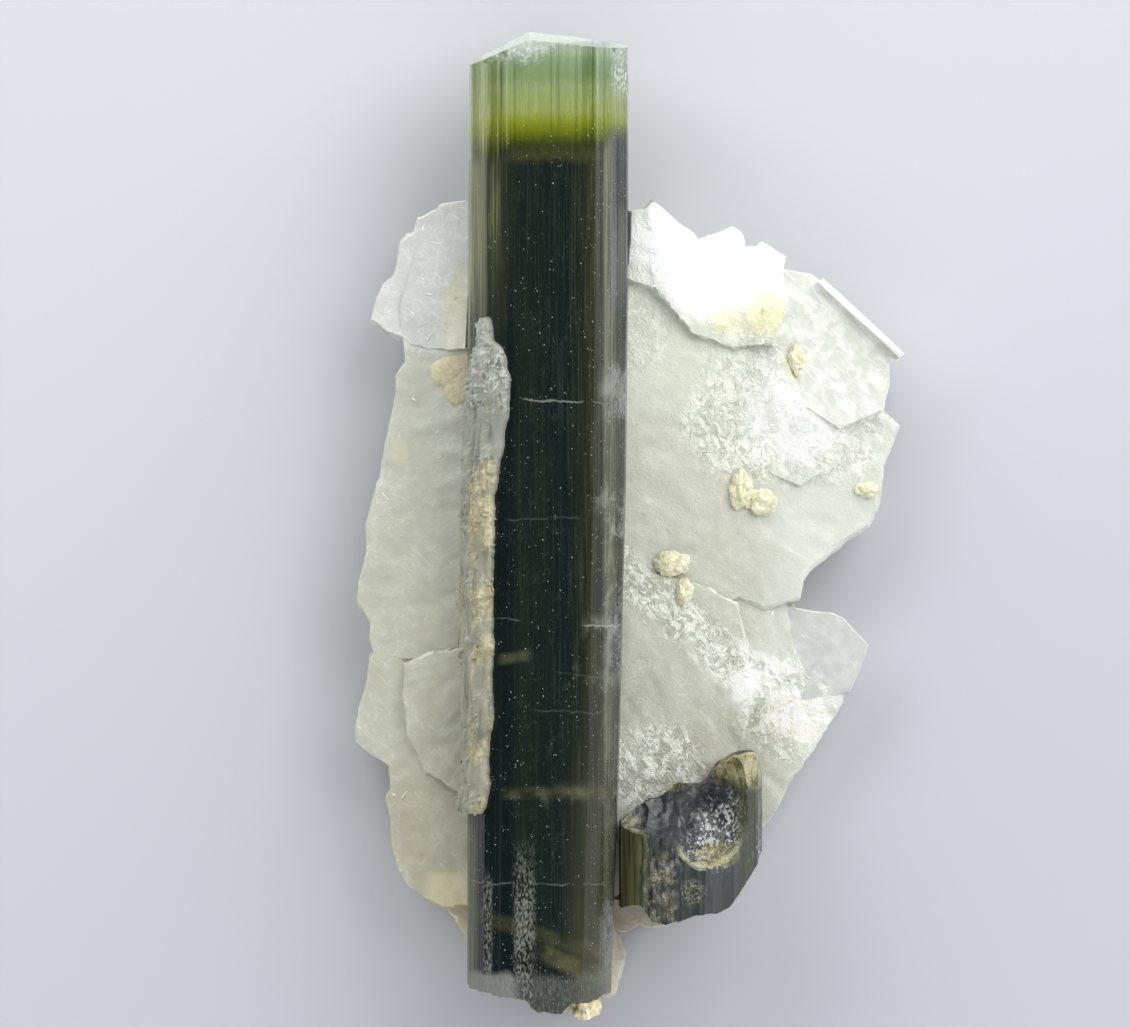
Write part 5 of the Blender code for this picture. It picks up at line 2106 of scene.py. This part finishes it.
    def _channel(self, prism: MainCrystal) -> Object:
        """Return the room for the main crystal.

        Args:
            prism: The main crystal.

        Returns:
            The solid to cut out.
        """
        corners = prism.corners(self.gap)
        rings = [
            [prism.point(x / prism.half_width, z, y) for x, z in corners] for y in self.channel_stations
        ]
        return settle("channel", skin(rings))

    def _splintered(self, place: Vector, way: Vector) -> float:
        """Return the share of shards at a place.

        Args:
            place: The place.
            way: The way out there.

        Returns:
            The share.
        """
        if way.z < 0.7 or place.z < 2.5 or -10.4 < place.x < 0.7:
            return 0.0
        if place.x < 0.0:
            return 0.25 if place.y > 10.5 else 0.05
        near = max(1.2 - math.hypot(place.x - x, place.y - y) / reach for x, y, reach in self.clusters)
        return 0.04 + max(0.0, near) * (0.5 + 0.9 * hum(place.x * 0.8, place.y * 0.8, 2.0))

    def _lumps(self) -> Object:
        """Build the clay lumps stuck on the plates.

        Returns:
            The lumps, as one object.
        """
        bm = bmesh.new()
        for index, clod in enumerate(self.lumps):
            part = clod.build(3.0 * index, 4)
            mesh = bpy.data.meshes.new("lump")
            part.to_mesh(mesh)
            part.free()
            bm.from_mesh(mesh)
            bpy.data.meshes.remove(mesh)
        return settle("clay_lumps", bm, self.clay.build())


@dataclass
class EdgeCrust:
    """Grainy crust along the prism's front left edge."""

    strip: tuple[tuple[float, float, float, float], ...] = (
        (12.7, 3.3, 3.7, 0.20), (12.0, 3.1, 3.95, 0.32), (11.3, 3.1, 4.0, 0.30), (10.9, 2.7, 4.5, 0.30),
        (10.2, 2.1, 4.9, 0.42), (9.6, 1.9, 4.85, 0.40), (9.1, 1.7, 5.15, 0.50), (7.8, 1.6, 5.1, 0.50),
        (6.4, 1.3, 4.9, 0.40), (5.0, 1.2, 4.75, 0.32), (4.1, 1.2, 4.5, 0.50), (2.9, 1.3, 4.3, 0.50),
        (1.6, 1.2, 4.1, 0.42), (-0.3, 1.1, 4.05, 0.45), (-1.7, 1.1, 4.05, 0.32), (-3.0, 1.1, 4.0, 0.40),
        (-4.4, 1.1, 4.0, 0.50), (-5.6, 1.1, 3.95, 0.34), (-7.2, 1.1, 4.1, 0.46), (-8.3, 1.1, 4.0, 0.36),
        (-10.0, 1.0, 4.0, 0.40), (-11.6, 1.0, 4.1, 0.45), (-12.8, 0.9, 3.85, 0.45), (-14.2, 0.9, 3.75, 0.34),
        (-15.8, 0.7, 3.8, 0.50), (-17.0, 0.7, 3.65, 0.60), (-17.7, 1.4, 3.0, 0.36),
    )
    gap: float = 0.02
    pitch: float = 0.2
    wall_pitch: float = 0.05
    across: int = 26
    sunk: float = 0.15
    grains: Scatter = Scatter(
        "crust_grains", Grit.SPECK, 2.2, (0.05, 0.06, 0.03), (0.20, 0.30, 0.12), 40.0, math.pi, 5
    )
    finish: CrustFinish = CrustFinish()

    def build(self, prism: MainCrystal) -> list[Object]:
        """Return the crust and the grains on it.

        Args:
            prism: The prism that it grew on.

        Returns:
            The pieces.
        """
        grainy = self.finish.build()
        wall = walk(prism.corners(), self.wall_pitch)
        count = round((self.strip[0][0] - self.strip[-1][0]) / self.pitch)
        rings = [self._ring(prism, wall, self.strip[0][0] - step * self.pitch) for step in range(count)]
        crust = settle("grainy_crust", skin(rings), grainy)
        share_by(crust, lambda place, way: self._grit(place.y) if way.z > 0.15 or way.x < -0.5 else 0.0)
        grains = self.grains.grow(crust, grainy)
        return [present(crust, "edge_crust"), present(grains)]

    def _grit(self, y: float) -> float:
        """Return how gritty the crust is at a place along it."""
        near = max(math.exp(-(((y - middle) / half) ** 2)) for middle, half in self.finish.lumps)
        return max(near, min(1.0, max(0.0, (y - 6.0) / 1.5)), 0.04)

    def _ring(self, prism: MainCrystal, wall: list[WallPoint], y: float) -> list[Vector]:
        """Return the crust's outline across the prism at one place along it.

        Args:
            prism: The prism that it grew on.
            wall: The prism's section.
            y: The place along.

        Returns:
            The outline.
        """
        start, end, thick = (along(tuple((row[0], row[part]) for row in self.strip), y) for part in (1, 2, 3))
        start += 0.22 * hum(y * 0.9, 1.0, 0.0)
        end += 0.16 * hum(y * 0.8, 4.0, 0.0) + 0.05 * hum(y * 2.4, 6.0, 0.0)
        inner, outer = [], []
        for index in range(self.across):
            share = index / (self.across - 1)
            walked = start + (end - start) * share
            place = min(wall, key=lambda item: abs(item.walked - walked))
            spot = Vector((place.spot.x, y, place.spot.y))
            drawn = Vector((spot.x * 1.6, spot.y * 0.30, spot.z * 1.6))
            knob = 0.8 * rough(drawn, 1.0, 3.0) + self._grit(y) * 0.35 * rough(spot, 0.6, 9.0)
            arch = 0.3 + 0.7 * math.sin(math.pi * share) ** 0.5
            rise = self.gap + self.sunk + max(0.02, 0.15 * arch + thick * arch * (0.95 + 0.9 * knob))
            for side, height in ((inner, self.gap - self.sunk), (outer, rise)):
                at = place.spot + place.outward * height
                side.append(prism.point(at.x / prism.half_width, at.y, y))
        return inner + outer[::-1]


# ---------------------------------------------------------------------- studio


@dataclass(frozen=True)
class SoftLight:
    """A large soft lamp aimed at the specimen: where it hangs, its size and its power."""

    name: str
    place: Triple
    size: Point
    power: float

    def build(self) -> None:
        """Hang the lamp."""
        data = bpy.data.lights.new(self.name, "AREA")
        data.shape = "RECTANGLE"
        data.size, data.size_y = self.size
        data.energy = self.power
        lamp = link(self.name, data)
        lamp.location = self.place
        lamp.rotation_euler = (-Vector(self.place)).to_track_quat("-Z", "Y").to_euler()


@dataclass
class Studio:
    """Pale floor, soft lamps, pale surroundings and the camera straight above."""

    camera_place: Triple = (-0.00389, 0.00080, 0.2975625)
    lens: float = 150.0
    sensor: float = 36.0
    nearest: float = 0.001
    floor_size: float = 3.0
    floor: FloorFinish = FloorFinish()
    dim: Color = (0.03, 0.032, 0.035)
    pale: Color = (0.70, 0.71, 0.75)
    lights: tuple[SoftLight, ...] = (
        SoftLight("key", (0.30, 0.28, 0.30), (0.50, 0.50), 2.7),
        SoftLight("left", (-0.30, 0.38, 0.22), (0.50, 0.40), 2.4),
        SoftLight("low", (0.02, -0.45, 0.26), (0.60, 0.40), 1.0),
    )

    def build(self) -> None:
        """Set the studio up round the specimen."""
        bm = bmesh.new()
        bmesh.ops.create_grid(bm, x_segments=8, y_segments=8, size=self.floor_size / 2 / MM)
        ground = settle("floor", bm, self.floor.build())
        if ground.data.polygons[0].normal.z < 0.0:
            ground.data.flip_normals()
        for light in self.lights:
            light.build()
        self._surroundings()
        data = bpy.data.cameras.new("camera")
        data.lens = self.lens
        data.sensor_width = self.sensor
        data.sensor_fit = "HORIZONTAL"
        data.clip_start = self.nearest
        camera = link("camera", data)
        camera.location = self.camera_place
        bpy.context.scene.camera = camera
        bpy.context.scene.view_settings.view_transform = "Standard"

    def _surroundings(self) -> None:
        """Make pale surroundings, with a dim band overhead that runs across the prism."""
        world = bpy.data.worlds.new("surroundings")
        bpy.context.scene.world = world
        tree = ShaderTree(world)
        x, y, z = tree.coordinates("Generated")
        low = (z - x * 0.35).ramp(0.75, 0.25)
        color = tree.mix(low.most(abs(y).ramp(0.22, 0.50)), self.dim, self.pale)
        back = tree.node("ShaderNodeBackground", None, {0: color})
        tree.links.new(back.outputs[0], tree.output.inputs[0])


def main() -> None:
    """Build the specimen and the studio, and report each piece."""
    logging.basicConfig(level=logging.INFO, format="%(message)s")
    prism = MainCrystal()
    pieces = [*prism.build(), *SideCrystal().build()]
    pieces += AlbiteMatrix().build(prism)
    pieces += EdgeCrust().build(prism)
    Studio().build()
    for piece in pieces:
        piece.data.calc_loop_triangles()
        LOG.info("%s: %d triangles", piece.name, len(piece.data.loop_triangles))


if __name__ == "__main__":
    main()
